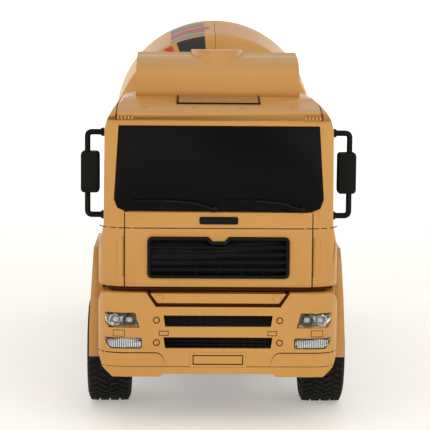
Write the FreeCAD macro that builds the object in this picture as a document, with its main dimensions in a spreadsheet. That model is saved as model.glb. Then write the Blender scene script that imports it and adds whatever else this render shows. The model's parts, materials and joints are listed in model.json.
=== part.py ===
import FreeCAD, Part
import os
import re
import Sketcher
from FreeCAD import Rotation, Vector

# A toy cement mixer truck.  Units are millimetres.
# +Z is up, the cab faces -Y, and X = 0 is the plane of symmetry.
# The origin is on the ground, half way along the truck.

DIMENSIONS = {
    # whole truck
    "truck_length": 400,
    "wall": 2,
    "running_gap": 0.05,
    "seat_gap": 0.1,
    # axles and wheels
    "front_axle_y": -130,
    "mid_axle_y": 55,
    "rear_axle_y": 123,
    "axle_z": 30,
    "axle_radius": 2,
    "tyre_radius": 30,
    "tyre_bead_radius": 19.5,
    "front_tyre_inner_x": 47.5,
    "front_tyre_width": 24,
    "rear_tyre_inner_x": 34.5,
    "rear_tyre_width": 17,
    "rear_tyre_pitch": 18,
    "hub_radius": 6,
    "rim_wall": 1.8,
    "axle_teeth": 14,
    "motor_teeth": 10,
    # steering
    "kingpin_x": 44,
    "kingpin_radius": 1.5,
    "steer_arm": 12,
    "knuckle_low_z": 25,
    "knuckle_high_z": 35,
    "lug_height": 3,
    # chassis
    "tray_half_width": 26,
    "tray_floor_z": 19.7,
    "tray_front_y": -153,
    "front_screw_y": -146,
    "rear_screw_y": 145,
    "screw_x": 18,
    "tray_step_y": -100,
    "tray_back_y": 160,
    "deck_low_z": 44,
    "deck_high_z": 47,
    "deck_half_width": 31,
    "deck_front_y": -174,
    "battery_front_y": -70,
    "battery_back_y": 10,
    "battery_half_width": 18,
    # cab
    "cab_half_width": 61,
    "cab_front_y": -197,
    "cab_back_y": -98,
    "cab_low_z": 66,
    "cab_seam_z": 106.9,
    "cab_flare_half_width": 63.8,
    "glass_low_z": 115.4,
    "glass_high_z": 160.4,
    "glass_half_width": 55.2,
    "glass_top_half_width": 53,
    "glass_high_y": -190,
    "visor_z": 163.2,
    "roof_front_y": -187,
    "roof_low_z": 167.2,
    "roof_high_z": 173.6,
    "roof_peak_y": -152,
    "shoulder": 9,
    "panel_half_width": 49.6,
    "grille_half_width": 37.4,
    "grille_low_z": 80.3,
    "grille_high_z": 102.2,
    # bumper
    "bumper_half_width": 63.8,
    "bumper_low_z": 27.7,
    "bumper_high_z": 72.7,
    "bumper_front_y": -199.7,
    "bumper_back_y": -175,
    "intake_half_width": 28.4,
    "upper_intake_low_z": 54.7,
    "upper_intake_high_z": 60.7,
    "lower_intake_low_z": 43.1,
    "lower_intake_high_z": 49,
    "head_lamp_in_x": 41.6,
    "head_lamp_out_x": 59.9,
    "head_lamp_low_z": 54.1,
    "head_lamp_high_z": 62,
    "fog_lamp_low_z": 42.9,
    "fog_lamp_high_z": 48.6,
    "step_low_z": 66.6,
    "step_half_width": 38,
    "plate_half_width": 15,
    "plate_low_z": 32.9,
    "plate_high_z": 41,
    # fenders
    "fender_half_width": 69.5,
    "fender_front_y": -172,
    "fender_back_y": -92,
    "fender_low_z": 33,
    "fender_top_z": 92,
    "arch_radius": 38.5,
    # mirrors
    "mirror_in_x": 63,
    "mirror_out_x": 74,
    "mirror_low_z": 123.8,
    "mirror_high_z": 146.2,
    "mirror_bar_x": 70,
    "mirror_y": -180,
    "mirror_low_arm_z": 112,
    "mirror_high_arm_z": 156.3,
    # deflector
    "deflector_half_width": 45,
    "deflector_front_y": -146,
    "deflector_back_y": -106,
    "deflector_low_z": 174,
    "deflector_high_z": 196.5,
    # mixer frame
    "rail_in_x": 15,
    "rail_out_x": 22,
    "rail_top_z": 60,
    "rail_front_y": -94,
    "rail_back_y": 158,
    "tower_front_y": -92,
    "tower_back_y": -80,
    "tower_half_width": 26,
    # drum, measured along its own tilted axis from its centre
    "drum_y": -25,
    "drum_z": 149.2,
    "drum_tilt": 9,
    "drum_radius": 60.5,
    "drum_half_cylinder": 25,
    "drum_nose_radius": 22,
    "drum_nose": -45,
    "drum_mouth": 128,
    "drum_mouth_radius": 24,
    "drum_wall": 2,
    "track_start": 82,
    "track_width": 7,
    "track_radius": 43,
    "drum_shaft_radius": 4,
    "gear_module": 1,
    "drum_teeth": 36,
    "pinion_teeth": 12,
    "gear_width": 4,
    "motor_radius": 7,
    "motor_length": 23,
    "roller_radius": 8,
    "roller_angle": 30,
    "roller_pin_radius": 1.5,
    # rear end
    "hopper_low_z": 178,
    "hopper_high_z": 202,
    "chute_pivot_y": 140,
    "rear_bumper_low_z": 30,
    "chute_pivot_z": 80,
    "chute_hinge_z": 96,
    "chute_half_width": 13,
    "chute_length": 60,
    "chute_pin_height": 5,
    "chute_depth": 11,
    "chute_slope": 28,
}

# The pinion's distance from the drum's axis, set by the two gears' teeth.
GEAR_OFFSET = "(drum_teeth + pinion_teeth) * gear_module / 2"
# The stretch from the drum's axis to a roller's own axis.
ROLLER_REACH = "(track_radius + roller_radius + running_gap)"

# The drive motor's axis, one gear mesh ahead of the axle that it turns.
MOTOR_Y = "mid_axle_y - (axle_teeth + motor_teeth) * gear_module / 2"

# The four screws that hold the chassis deck to the tub under it.
SCREW_PLACES = [
    ("-screw_x", "front_screw_y"),
    ("screw_x", "front_screw_y"),
    ("-screw_x", "rear_screw_y"),
    ("screw_x", "rear_screw_y"),
]

doc = FreeCAD.newDocument("cement_mixer")
sheet = doc.addObject("Spreadsheet::Sheet", "sheet")
for row, (alias, size) in enumerate(DIMENSIONS.items(), start=1):
    sheet.set("A%d" % row, alias)
    sheet.set("B%d" % row, str(size))
    sheet.setAlias("B%d" % row, alias)
doc.recompute()

nodes = []


# ---------------------------------------------------------------- helpers


def bound(expression):
    """The expression with every dimension's name turned into its cell."""

    def cell(match):
        word = match.group(0)
        return "sheet." + word if word in DIMENSIONS else word

    return re.sub(r"[a-z][a-z_0-9]*", cell, str(expression))


def number(expression):
    """The expression's value in millimetres or degrees."""
    return float(sheet.evalExpression(bound(expression)))


def bind(obj, **sizes):
    for name, expression in sizes.items():
        obj.setExpression(name, bound(expression))
    return obj


def put(obj, x=0, y=0, z=0):
    for axis, expression in zip("xyz", (x, y, z)):
        obj.setExpression("Placement.Base." + axis, bound(expression))
    return obj


def block(name, x, y, z):
    """A box between the two expressions given for each axis."""
    box = doc.addObject("Part::Box", name)
    for size, (low, high) in zip(("Length", "Width", "Height"), (x, y, z)):
        box.setExpression(size, bound("(%s) - (%s)" % (high, low)))
    return put(box, x[0], y[0], z[0])


TURNS = {
    "X": Rotation(Vector(0, 1, 0), 90),
    "Y": Rotation(Vector(1, 0, 0), -90),
    "Z": Rotation(),
}


def rod(name, axis, at, radius, length):
    """A cylinder that starts at a point and runs along +X, +Y or +Z."""
    cylinder = doc.addObject("Part::Cylinder", name)
    bind(cylinder, Radius=radius, Height=length)
    cylinder.Placement = FreeCAD.Placement(Vector(), TURNS[axis])
    return put(cylinder, *at)


def wedge(name, low, high, z):
    """A hopper shape: the rectangle low at the bottom, high at the top."""
    solid = doc.addObject("Part::Wedge", name)
    (x0, x1, y0, y1), (u0, u1, v0, v1) = low, high
    bind(solid, Xmin=x0, Xmax=x1, Zmin="-(%s)" % y1, Zmax="-(%s)" % y0)
    bind(solid, X2min=u0, X2max=u1, Z2min="-(%s)" % v1, Z2max="-(%s)" % v0)
    bind(solid, Ymin=z[0], Ymax=z[1])
    solid.Placement = FreeCAD.Placement(Vector(), Rotation(Vector(1, 0, 0), 90))
    return solid


def fuse(name, *pieces):
    joined = doc.addObject("Part::MultiFuse", name)
    joined.Shapes = list(pieces)
    return joined


def common(name, *pieces):
    shared = doc.addObject("Part::MultiCommon", name)
    shared.Shapes = list(pieces)
    return shared


def cut(name, base, *tools):
    result = doc.addObject("Part::Cut", name)
    result.Base = base
    result.Tool = tools[0] if len(tools) == 1 else fuse(name + "_tools", *tools)
    return result


def group(name, *pieces):
    """Separate solids that belong to one node."""
    gathered = doc.addObject("Part::Compound", name)
    gathered.Links = list(pieces)
    return gathered


def mirrored(name, source):
    copy = doc.addObject("Part::Mirroring", name)
    copy.Source = source
    copy.Normal = Vector(1, 0, 0)
    return copy


def pair(name, source):
    """The piece and its mirror image in the plane of symmetry."""
    return group(name, source, mirrored(name + "_mirror", source))


def rounded(name, base, radius, chosen):
    """Rounds the edges whose middle point passes the test."""
    doc.recompute()
    size = number(radius)
    fillet = doc.addObject("Part::Fillet", name)
    fillet.Base = base
    edges = []
    for index, edge in enumerate(base.Shape.Edges, start=1):
        middle = edge.valueAt((edge.FirstParameter + edge.LastParameter) / 2)
        if chosen(middle, edge):
            edges.append((index, size, size))
    fillet.Edges = edges
    return fillet


def runs_along(edge, axis):
    """True for a straight edge parallel to the axis."""
    if edge.Curve.TypeId != "Part::GeomLine":
        return False
    return abs(edge.Curve.Direction.dot(axis)) > 0.999


def sketched(name, role, points, offset="0"):
    """A body with a closed outline on one origin plane, every point bound."""
    body = doc.addObject("PartDesign::Body", name)
    sketch = body.newObject("Sketcher::SketchObject", name + "_sketch")
    plane = [item for item in body.Origin.OriginFeatures if item.Role == role][0]
    sketch.AttachmentSupport = [(plane, "")]
    sketch.MapMode = "FlatFace"
    sketch.setExpression("AttachmentOffset.Base.z", bound(offset))
    spots = [(number(u), number(v)) for u, v in points]
    corners = [Vector(u, v, 0) for u, v in spots]
    count = len(corners)
    for index in range(count):
        sketch.addGeometry(Part.LineSegment(corners[index], corners[(index + 1) % count]))
    for index in range(count):
        following = (index + 1) % count
        sketch.addConstraint(Sketcher.Constraint("Coincident", index, 2, following, 1))
    for index, (spot, names) in enumerate(zip(spots, points)):
        for kind, size, expression in zip(("DistanceX", "DistanceY"), spot, names):
            made = sketch.addConstraint(Sketcher.Constraint(kind, -1, 1, index, 1, size))
            sketch.setExpression("Constraints[%d]" % made, bound(expression))
    return body, sketch


def prism(name, plane, points, start, end):
    """An outline in the XY, XZ or YZ plane, padded between two stations of the third axis."""
    offset = "-(%s)" % start if plane == "XZ" else start
    body, sketch = sketched(name, plane + "_Plane", points, offset)
    pad = body.newObject("PartDesign::Pad", name + "_pad")
    pad.Profile = sketch
    pad.setExpression("Length", bound("(%s) - (%s)" % (end, start)))
    pad.Reversed = plane == "XZ"
    return body


def turned_x(name, points, y=0, z=0):
    """A body turned about an axis parallel to X, from (x, radius) points."""
    body, sketch = sketched(name, "XY_Plane", points)
    turn = body.newObject("PartDesign::Revolution", name + "_turn")
    turn.Profile = sketch
    turn.ReferenceAxis = (sketch, ["H_Axis"])
    return put(body, 0, y, z)


def on_drum_axis(obj, turn=0):
    """Tilts a piece that is drawn along Y, with the drum's centre as its origin."""
    tilt = Rotation(Vector(1, 0, 0), number("drum_tilt"))
    obj.Placement = FreeCAD.Placement(Vector(), tilt * Rotation(Vector(0, 1, 0), turn))
    return put(obj, 0, "drum_y", "drum_z")


def turned_on_drum(name, points):
    """A body turned about the drum's axis, from (station, radius) points."""
    body, sketch = sketched(name, "YZ_Plane", points)
    turn = body.newObject("PartDesign::Revolution", name + "_turn")
    turn.Profile = sketch
    turn.ReferenceAxis = (sketch, ["H_Axis"])
    return body


def node(label, piece):
    """Registers a finished sub-part under the name that people use for it."""
    piece.Label = label
    nodes.append(piece)
    return piece


# ---------------------------------------------------------------- chassis


def chassis_tray():
    """The lower tub: a floor, two sides behind the steering bay and four screw posts."""
    w, inner = "tray_half_width", "tray_half_width - wall"
    floor_top = "tray_floor_z + wall"
    floor = block(
        "tray_floor",
        ("-(%s)" % w, w),
        ("tray_front_y", "tray_back_y"),
        ("tray_floor_z", floor_top),
    )
    walls = block("tray_walls", ("-(%s)" % w, w), ("tray_step_y", "tray_back_y"), (floor_top, "deck_low_z"))
    hollow = block(
        "tray_hollow",
        ("-(%s)" % inner, inner),
        ("tray_step_y + wall", "tray_back_y - wall"),
        (floor_top, "deck_low_z"),
    )
    tub = cut("tray_tub", walls, hollow)
    posts = [
        rod("tray_post_%d" % index, "Z", (x, y, floor_top), 3, "deck_low_z - tray_floor_z - wall")
        for index, (x, y) in enumerate(SCREW_PLACES)
    ]
    axles = [
        rod(
            "tray_bore_%d" % index,
            "X",
            ("-(%s) - 1" % w, y, "axle_z"),
            "axle_radius + running_gap",
            "2 * (%s) + 2" % w,
        )
        for index, y in enumerate(["mid_axle_y", "rear_axle_y"])
    ]
    bay = block(
        "tray_battery_bay",
        ("-battery_half_width", "battery_half_width"),
        ("battery_front_y", "battery_back_y"),
        ("tray_floor_z", floor_top),
    )
    return cut("tray", fuse("tray_whole", floor, tub, *posts), bay, *axles)


def battery_door():
    w = "battery_half_width - seat_gap"
    door = block(
        "door_plate",
        ("-(%s)" % w, w),
        ("battery_front_y + seat_gap", "battery_back_y - seat_gap"),
        ("tray_floor_z", "tray_floor_z + wall"),
    )
    grip = block(
        "door_grip",
        (-6, 6),
        ("battery_back_y - 8", "battery_back_y - 5"),
        ("tray_floor_z - 1", "tray_floor_z + 0.8"),
    )
    return cut("door", door, grip)


def battery_pack():
    """Four round cells side by side in a sleeve."""
    z = "tray_floor_z + wall + 8"
    cells = [
        rod("cell_%d" % i, "Y", (x, "battery_front_y + 4", z), 7, 50)
        for i, x in enumerate((-10.5, 10.5))
    ]
    sleeve = block(
        "pack_sleeve",
        (-11, 11),
        ("battery_front_y + 6", "battery_front_y + 52"),
        ("tray_floor_z + wall + 1.2", "tray_floor_z + wall + 14.8"),
    )
    return fuse("pack", sleeve, *cells)


def chassis_deck():
    """The lid of the tub, which carries the cab and the mixer frame."""
    w = "deck_half_width"
    plate = block(
        "deck_plate",
        ("-(%s)" % w, w),
        ("deck_front_y", "tray_back_y"),
        ("deck_low_z", "deck_high_z"),
    )
    bores = [
        rod("deck_bore_%d" % i, "Z", (x, y, "deck_low_z - 1"), 1.3, "deck_high_z - deck_low_z + 2")
        for i, (x, y) in enumerate(SCREW_PLACES)
    ]
    knob = block("deck_knob_slot", (-3.5, 3.5), (22, 36), ("deck_low_z - 1", "deck_high_z + 1"))
    arms = [
        block("deck_arm_%d" % i, (x, x + 8), (-194, "deck_front_y"), ("deck_low_z - 4", "deck_high_z"))
        for i, x in enumerate((-20, 12))
    ]
    bar = block("deck_bumper_bar", (-30, 30), (-194, -191), (38, 62))
    return cut("deck", fuse("deck_whole", plate, bar, *arms), knob, *bores)


def screws():
    """Self-tapping screws that hold the deck to the tub's posts."""
    made = []
    for i, (x, y) in enumerate(SCREW_PLACES):
        head = rod("screw_head_%d" % i, "Z", (x, y, "deck_high_z"), 2.6, 1.6)
        shank = rod("screw_shank_%d" % i, "Z", (x, y, "deck_low_z"), 1.25, "deck_high_z - deck_low_z + 1")
        slot = block(
            "screw_slot_%d" % i,
            ("(%s) - 2" % x, "(%s) + 2" % x),
            ("(%s) - 0.3" % y, "(%s) + 0.3" % y),
            ("deck_high_z + 0.9", "deck_high_z + 2"),
        )
        made.append(cut("screw_%d" % i, fuse("screw_blank_%d" % i, head, shank), slot))
    return group("screw_set", *made)


# ---------------------------------------------------------------- steering


def front_axle_carrier():
    """A beam with an upper and a lower lug for each kingpin."""
    low = "knuckle_low_z - 0.3 - lug_height"
    y = ("front_axle_y - 5", "front_axle_y + 5")
    base = block("carrier_base", (-38, 38), y, (low, "knuckle_low_z - 0.3"))
    pieces = [base]
    for side in (-1, 1):
        inner, outer = sorted((side * 11.5, side * 38))
        pieces.append(
            block(
                "carrier_tower_%d" % (side + 1),
                (inner, outer),
                y,
                (low, "knuckle_high_z + 0.3 + lug_height"),
            ),
        )
        ends = sorted((side * 30, side * 48))
        for end, z in (("low", low), ("high", "knuckle_high_z + 0.3")):
            pieces.append(
                block(
                    "carrier_lug_%s_%d" % (end, side + 1),
                    ends,
                    ("front_axle_y - 4", "front_axle_y + 4"),
                    (z, "%s + lug_height" % z),
                ),
            )
    bores = [
        rod("carrier_bore_%d" % i, "Z", (x, "front_axle_y", 15), "kingpin_radius + running_gap", 40)
        for i, x in enumerate(("-kingpin_x", "kingpin_x"))
    ]
    clear = [
        block("carrier_clear_%d" % i, x, y, ("knuckle_low_z - 0.3", "knuckle_high_z + 0.3"))
        for i, x in enumerate((("-50", "-kingpin_x + 6"), ("kingpin_x - 6", "50")))
    ]
    return cut("carrier", fuse("carrier_whole", *pieces), *bores, *clear)


def knuckle():
    """The left steering knuckle: kingpin, stub axle and steering arm in one piece."""
    at = ("kingpin_x", "front_axle_y", "knuckle_low_z")
    boss = rod("knuckle_boss", "Z", at, 4, "knuckle_high_z - knuckle_low_z")
    pin = rod(
        "knuckle_pin",
        "Z",
        ("kingpin_x", "front_axle_y", "knuckle_low_z - lug_height"),
        "kingpin_radius",
        "knuckle_high_z - knuckle_low_z + 2 * lug_height",
    )
    stub = rod("knuckle_stub", "X", ("kingpin_x", "front_axle_y", "axle_z"), "axle_radius", 24.5)
    shoulder = rod("knuckle_shoulder", "X", ("kingpin_x", "front_axle_y", "axle_z"), 3.4, 7.5)
    arm = block(
        "knuckle_arm",
        ("kingpin_x - 2.2", "kingpin_x + 2.2"),
        ("front_axle_y", "front_axle_y + steer_arm + 2.2"),
        ("knuckle_low_z", "knuckle_low_z + 3"),
    )
    ball = rod("knuckle_ball", "Z", ("kingpin_x", "front_axle_y + steer_arm", "knuckle_low_z"), 1.5, 7)
    return fuse("knuckle", boss, pin, stub, shoulder, arm, ball)


def tie_rod():
    y = "front_axle_y + steer_arm"
    bar = block(
        "tie_bar",
        ("-kingpin_x - 2.9", "kingpin_x + 2.9"),
        ("%s - 3" % y, "%s + 3" % y),
        ("knuckle_low_z + 3.4", "knuckle_low_z + 6.6"),
    )
    slots = [
        block(
            "tie_slot_%d" % i,
            ("%s - 1.6" % x, "%s + 1.6" % x),
            ("%s - 2.4" % y, "%s + 1.7" % y),
            ("knuckle_low_z", "knuckle_low_z + 9"),
        )
        for i, x in enumerate(("-kingpin_x", "0", "kingpin_x"))
    ]
    return cut("tie", bar, *slots)


def steering_servo():
    case = block(
        "servo_case",
        (-10, 10),
        ("front_axle_y - 8", "front_axle_y + 7.5"),
        ("knuckle_low_z + 3.4", "deck_low_z"),
    )
    bore = rod("servo_bore", "Z", (0, "front_axle_y", "knuckle_low_z"), "axle_radius + running_gap", 11)
    return cut("servo", case, bore)


def servo_horn():
    boss = rod("horn_boss", "Z", (0, "front_axle_y", "knuckle_low_z"), 4, 3)
    shaft = rod("horn_shaft", "Z", (0, "front_axle_y", "knuckle_low_z"), "axle_radius", 10)
    arm = block(
        "horn_arm",
        (-2.2, 2.2),
        ("front_axle_y", "front_axle_y + steer_arm + 2.2"),
        ("knuckle_low_z", "knuckle_low_z + 3"),
    )
    ball = rod("horn_ball", "Z", (0, "front_axle_y + steer_arm", "knuckle_low_z"), 1.5, 7)
    return fuse("horn", boss, shaft, arm, ball)


# ---------------------------------------------------------------- wheels


def tyre(name, inner, width, y):
    """A tyre with rounded shoulders and a bulged sidewall."""
    outer = "(%s) + (%s)" % (inner, width)
    bead, crown = "tyre_bead_radius", "tyre_radius"
    return turned_x(
        name,
        [
            ("(%s) + 1" % inner, bead),
            ("(%s)" % inner, "%s + 3" % bead),
            ("(%s)" % inner, "%s - 3.4" % crown),
            ("(%s) + 1" % inner, "%s - 1" % crown),
            ("(%s) + 2.6" % inner, crown),
            ("(%s) - 2.6" % outer, crown),
            ("(%s) - 1" % outer, "%s - 1" % crown),
            ("(%s)" % outer, "%s - 3.4" % crown),
            ("(%s)" % outer, "%s + 3" % bead),
            ("(%s) - 1" % outer, bead),
        ],
        y,
        "axle_z",
    )


def hand_holes(name, x, y):
    """Eight round holes through a rim's web."""
    holes = []
    for index in range(8):
        angle = "%d" % (index * 45)
        where = (x, "(%s) + 12.6 * cos(%s)" % (y, angle), "axle_z + 12.6 * sin(%s)" % angle)
        holes.append(rod("%s_%d" % (name, index), "X", where, 2.1, 12))
    return holes


def front_rim(name):
    """A front rim: barrel, web and hub, turned about the stub axle."""
    barrel, gap = "tyre_bead_radius", "running_gap"
    x = "front_tyre_inner_x"
    outline = [
        (x + " + 8", "axle_radius + " + gap),
        (x + " + 20", "axle_radius + " + gap),
        (x + " + 20", "hub_radius"),
        (x + " + 14", "hub_radius + 2"),
        (x + " + 14", barrel + " - 4"),
        (x + " + 22.2", barrel + " - rim_wall"),
        (x + " + 22.2", barrel),
        (x + " + 1.2", barrel),
        (x + " + 1.2", barrel + " - rim_wall"),
        (x + " + 11.5", barrel + " - rim_wall"),
        (x + " + 11.5", "hub_radius"),
        (x + " + 8", "hub_radius"),
    ]
    blank = turned_x(name + "_turned", outline, "front_axle_y", "axle_z")
    return cut(name, blank, *hand_holes(name + "_hole", x + " + 8", "front_axle_y"))


def dual_rim(name, y):
    """A pair of rear rims in one piece, pressed on the axle."""
    barrel, x = "tyre_bead_radius", "rear_tyre_inner_x"
    far = "rear_tyre_inner_x + rear_tyre_pitch + rear_tyre_width"
    outline = [
        (x + " + 1.2", "axle_radius"),
        (far + " - 6", "axle_radius"),
        (far + " - 6", "hub_radius"),
        (far + " - 14", "hub_radius + 1"),
        (far + " - 14", barrel + " - 3"),
        (far + " - 1.2", barrel + " - rim_wall"),
        (far + " - 1.2", barrel),
        (x + " + 1.2", barrel),
    ]
    blank = turned_x(name + "_turned", outline, y, "axle_z")
    return cut(name, blank, *hand_holes(name + "_hole", far + " - 17", y))


def rear_axle(name, y, driven):
    """A steel axle; the driven one has a spur gear pressed on it."""
    reach = "rear_tyre_inner_x + rear_tyre_pitch + rear_tyre_width - 3"
    shaft = rod(name + "_shaft", "X", ("-(%s)" % reach, y, "axle_z"), "axle_radius", "2 * (%s)" % reach)
    if not driven:
        return shaft
    wheel = gear(name + "_gear", "axle_teeth", 4)
    stood_on_x(wheel, y, 180 / number("axle_teeth"))
    return fuse(name, shaft, wheel)


def gear(name, teeth, thickness):
    """A spur gear along Z: a round core, one tapered tooth and a polar pattern of it."""
    pitch = "%s * gear_module / 2" % teeth
    root, tip = "(%s - 1.4 * gear_module)" % pitch, "(%s + 0.85 * gear_module)" % pitch
    outline = [
        (root, "-0.9 * gear_module"),
        (tip, "-0.3 * gear_module"),
        (tip, "0.3 * gear_module"),
        (root, "0.9 * gear_module"),
    ]
    body = prism(name, "XY", outline, 0, thickness)
    tooth = body.Tip
    core_sketch = body.newObject("Sketcher::SketchObject", name + "_core_sketch")
    plane = [item for item in body.Origin.OriginFeatures if item.Role == "XY_Plane"][0]
    core_sketch.AttachmentSupport = [(plane, "")]
    core_sketch.MapMode = "FlatFace"
    core_radius = "%s - 1.2 * gear_module" % pitch
    core_sketch.addGeometry(Part.Circle(Vector(), Vector(0, 0, 1), number(core_radius)))
    core_sketch.addConstraint(Sketcher.Constraint("Coincident", 0, 3, -1, 1))
    made = core_sketch.addConstraint(Sketcher.Constraint("Radius", 0, number(core_radius)))
    core_sketch.setExpression("Constraints[%d]" % made, bound(core_radius))
    core = body.newObject("PartDesign::Pad", name + "_core")
    core.Profile = core_sketch
    core.setExpression("Length", bound(thickness))
    doc.recompute()
    pattern = body.newObject("PartDesign::PolarPattern", name + "_teeth")
    pattern.Originals = [tooth]
    pattern.Axis = (core_sketch, ["N_Axis"])
    pattern.Angle = 360
    pattern.Occurrences = int(number(teeth))
    body.Tip = pattern
    return body


def stood_on_x(wheel, y, turn=0):
    """Stands a gear square to a cross axle, turned by part of a tooth so that it meshes."""
    spin = Rotation(Vector(0, 0, 1), turn)
    wheel.Placement = FreeCAD.Placement(Vector(), Rotation(Vector(0, 1, 0), 90) * spin)
    return put(wheel, 4, y, "axle_z")


def drive_motor():
    """The can motor that turns the first rear axle, with its bearing plate."""
    can = rod("drive_can", "X", (-16, MOTOR_Y, "axle_z"), 7, 19)
    bore = rod("drive_bore", "X", (-4, MOTOR_Y, "axle_z"), "1 + running_gap", 8)
    foot = block(
        "drive_foot",
        (-14, 1),
        ("mid_axle_y - 19", "mid_axle_y - 13"),
        ("tray_floor_z + wall", 26),
    )
    return cut("drive", fuse("drive_whole", can, foot), bore)


def motor_pinion():
    shaft = rod("pinion_shaft", "X", (-2, MOTOR_Y, "axle_z"), 1, 10)
    wheel = gear("pinion_gear", "motor_teeth", 4)
    stood_on_x(wheel, MOTOR_Y)
    return fuse("pinion", shaft, wheel)


def switch_knob():
    """The power switch's slider, which stands up through the deck."""
    stem = block("knob_stem", (-3, 3), (26, 32), ("deck_low_z - 2", "deck_high_z + 3"))
    flange = block("knob_flange", (-6, 6), (24, 34), ("deck_low_z - 2", "deck_low_z - 0.4"))
    return fuse("knob", stem, flange)


# ---------------------------------------------------------------- cab


def both_sides(points):
    """An outline across the truck from its right half, listed from the bottom up."""
    left = [("-(%s)" % x, z) for x, z in reversed(points)]
    return [(x, z) for x, z in points] + left


def cab_solid(name, inset):
    """The cab's outer form, or its hollow when inset by the wall."""
    low, high = "cab_low_z", "roof_high_z - (%s)" % inset
    front, back = "cab_front_y + (%s)" % inset, "cab_back_y - (%s)" % inset
    side = prism(
        name + "_side",
        "YZ",
        [
            (front, low),
            (front, "glass_low_z"),
            ("glass_high_y + (%s)" % inset, "glass_high_z"),
            ("roof_front_y + (%s)" % inset, "roof_low_z - (%s)" % inset),
            ("roof_peak_y", high),
            (back, high),
            (back, low),
        ],
        "-80",
        "80",
    )
    upper, flare = "cab_half_width - (%s)" % inset, "cab_flare_half_width - (%s)" % inset
    top = "roof_high_z - (%s)" % inset
    across = [
        (flare, low),
        (flare, "cab_seam_z - 13"),
        (upper, "cab_seam_z + 1"),
        (upper + " - 0.5", top + " - 1.7 * shoulder"),
        (upper + " - 0.13 * shoulder - 0.5", top + " - 1.1 * shoulder"),
        (upper + " - 0.5 * shoulder - 0.5", top + " - 0.5 * shoulder"),
        (upper + " - shoulder", top + " - 0.17 * shoulder"),
        (upper + " - 1.7 * shoulder", top),
    ]
    front_view = prism(name + "_front", "XZ", both_sides(across), "cab_front_y - 5", "cab_back_y + 5")
    plan = [
        (flare, back),
        (flare, front + " + 13"),
        (flare + " - 1.5", front + " + 8"),
        (flare + " - 5", front + " + 4"),
        (flare + " - 10.5", front + " + 1.2"),
        (flare + " - 18", front),
    ]
    plan_view = prism(name + "_plan", "XY", both_sides(plan), "cab_low_z - 5", "roof_high_z + 5")
    return common(name, side, front_view, plan_view)


def front_region(name, gap):
    """The part of the cab's skin that the front panel takes up."""
    w, low, high = "panel_half_width + (%s)" % gap, "cab_low_z - 1", "glass_low_z + (%s)" % gap
    return block(name, ("-(%s)" % w, w), ("cab_front_y - 2", "cab_front_y + 12"), (low, high))


def glass_region(name, gap):
    """The windscreen's outline, narrower at the top, with its corners taken off."""
    low, high = "glass_low_z + 0.5 - (%s)" % gap, "glass_high_z + (%s)" % gap
    wide, narrow = "glass_half_width + (%s)" % gap, "glass_top_half_width + (%s)" % gap
    outline = [
        (wide + " - 6", low),
        (wide + " - 1.7", low + " + 1.7"),
        (wide, low + " + 6"),
        (narrow, high),
    ]
    return prism(name, "XZ", both_sides(outline), "cab_front_y - 3", "cab_front_y + 24")


def side_glass_region(name, gap):
    """The outline of the door window, through both sides of the cab."""
    outline = [
        ("-182 - (%s)" % gap, "glass_low_z + 3 - (%s)" % gap),
        ("-178 - (%s)" % gap, "glass_high_z - 4 + (%s)" % gap),
        ("-128 + (%s)" % gap, "glass_high_z - 4 + (%s)" % gap),
        ("-128 + (%s)" % gap, "glass_low_z + 9 - (%s)" % gap),
        ("-150", "glass_low_z + 9 - (%s)" % gap),
        ("-160", "glass_low_z + 3 - (%s)" % gap),
    ]
    return prism(name, "YZ", outline, "-80", "80")


def hatch_region(name, gap):
    w = "22.5 + (%s)" % gap
    return block(
        name,
        ("-(%s)" % w, w),
        ("-168 - (%s)" % gap, "-150 + (%s)" % gap),
        ("roof_high_z - 8", "roof_high_z + 5"),
    )


def roof_region(name, gap):
    return block(name, (-80, 80), (-210, -80), ("visor_z - (%s)" % gap, 190))


def motor_window(name):
    """The hole in the cab's back wall for the drum motor's rear end."""
    return block(name, (-10, 10), ("cab_back_y - 6", "cab_back_y + 6"), (98, 128))


def cab_pieces():
    """The cab's skin, divided into the pieces that snap together."""
    gap = "seat_gap"
    skin = cut("cab_skin", cab_solid("cab_outer", 0), cab_solid("cab_hollow", "wall"))
    low_skin = cut("cab_low_skin", skin, roof_region("roof_cut", 0))
    vent = block(
        "cab_vents",
        ("panel_half_width", "panel_half_width + 4.3"),
        (-210, "cab_front_y + 1.2"),
        (81, 102),
    )
    shell = cut(
        "cab_shell",
        low_skin,
        front_region("front_cut", gap),
        glass_region("glass_cut", gap),
        side_glass_region("side_glass_cut", gap),
        motor_window("cab_motor_window"),
        vent,
        mirrored("cab_vents_mirror", vent),
        block("cab_bumper_room", (-80, 80), (-210, "bumper_back_y + 0.1"), (60, "bumper_high_z + 2.9")),
    )
    panel = cut(
        "panel",
        common("panel_skin", skin, front_region("front_piece", 0)),
        grille_opening("panel_opening", gap),
        block("panel_bay", (-60, 60), (-210, -180), (60, "bumper_high_z + 2.9")),
    )
    windscreen = common("windscreen", skin, glass_region("glass_piece", 0))
    windows = common("windows", skin, side_glass_region("side_glass_piece", 0))
    glazing = group("glazing", windscreen, windows)
    roof = cut(
        "roof",
        common("roof_skin", skin, roof_region("roof_piece", "-(%s)" % gap)),
        hatch_region("hatch_cut", gap),
    )
    hatch = common("hatch", cab_solid("hatch_skin", 0), hatch_region("hatch_piece", 0))
    hatch = cut(
        "hatch_lid",
        hatch,
        block("hatch_under", (-40, 40), (-180, -140), ("roof_high_z - 20", "roof_high_z - 4")),
    )
    node("cab_shell", shell)
    node("front_panel", panel)
    node("cab_glazing", glazing)
    node("roof_panel", roof)
    node("roof_hatch", hatch)


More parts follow.
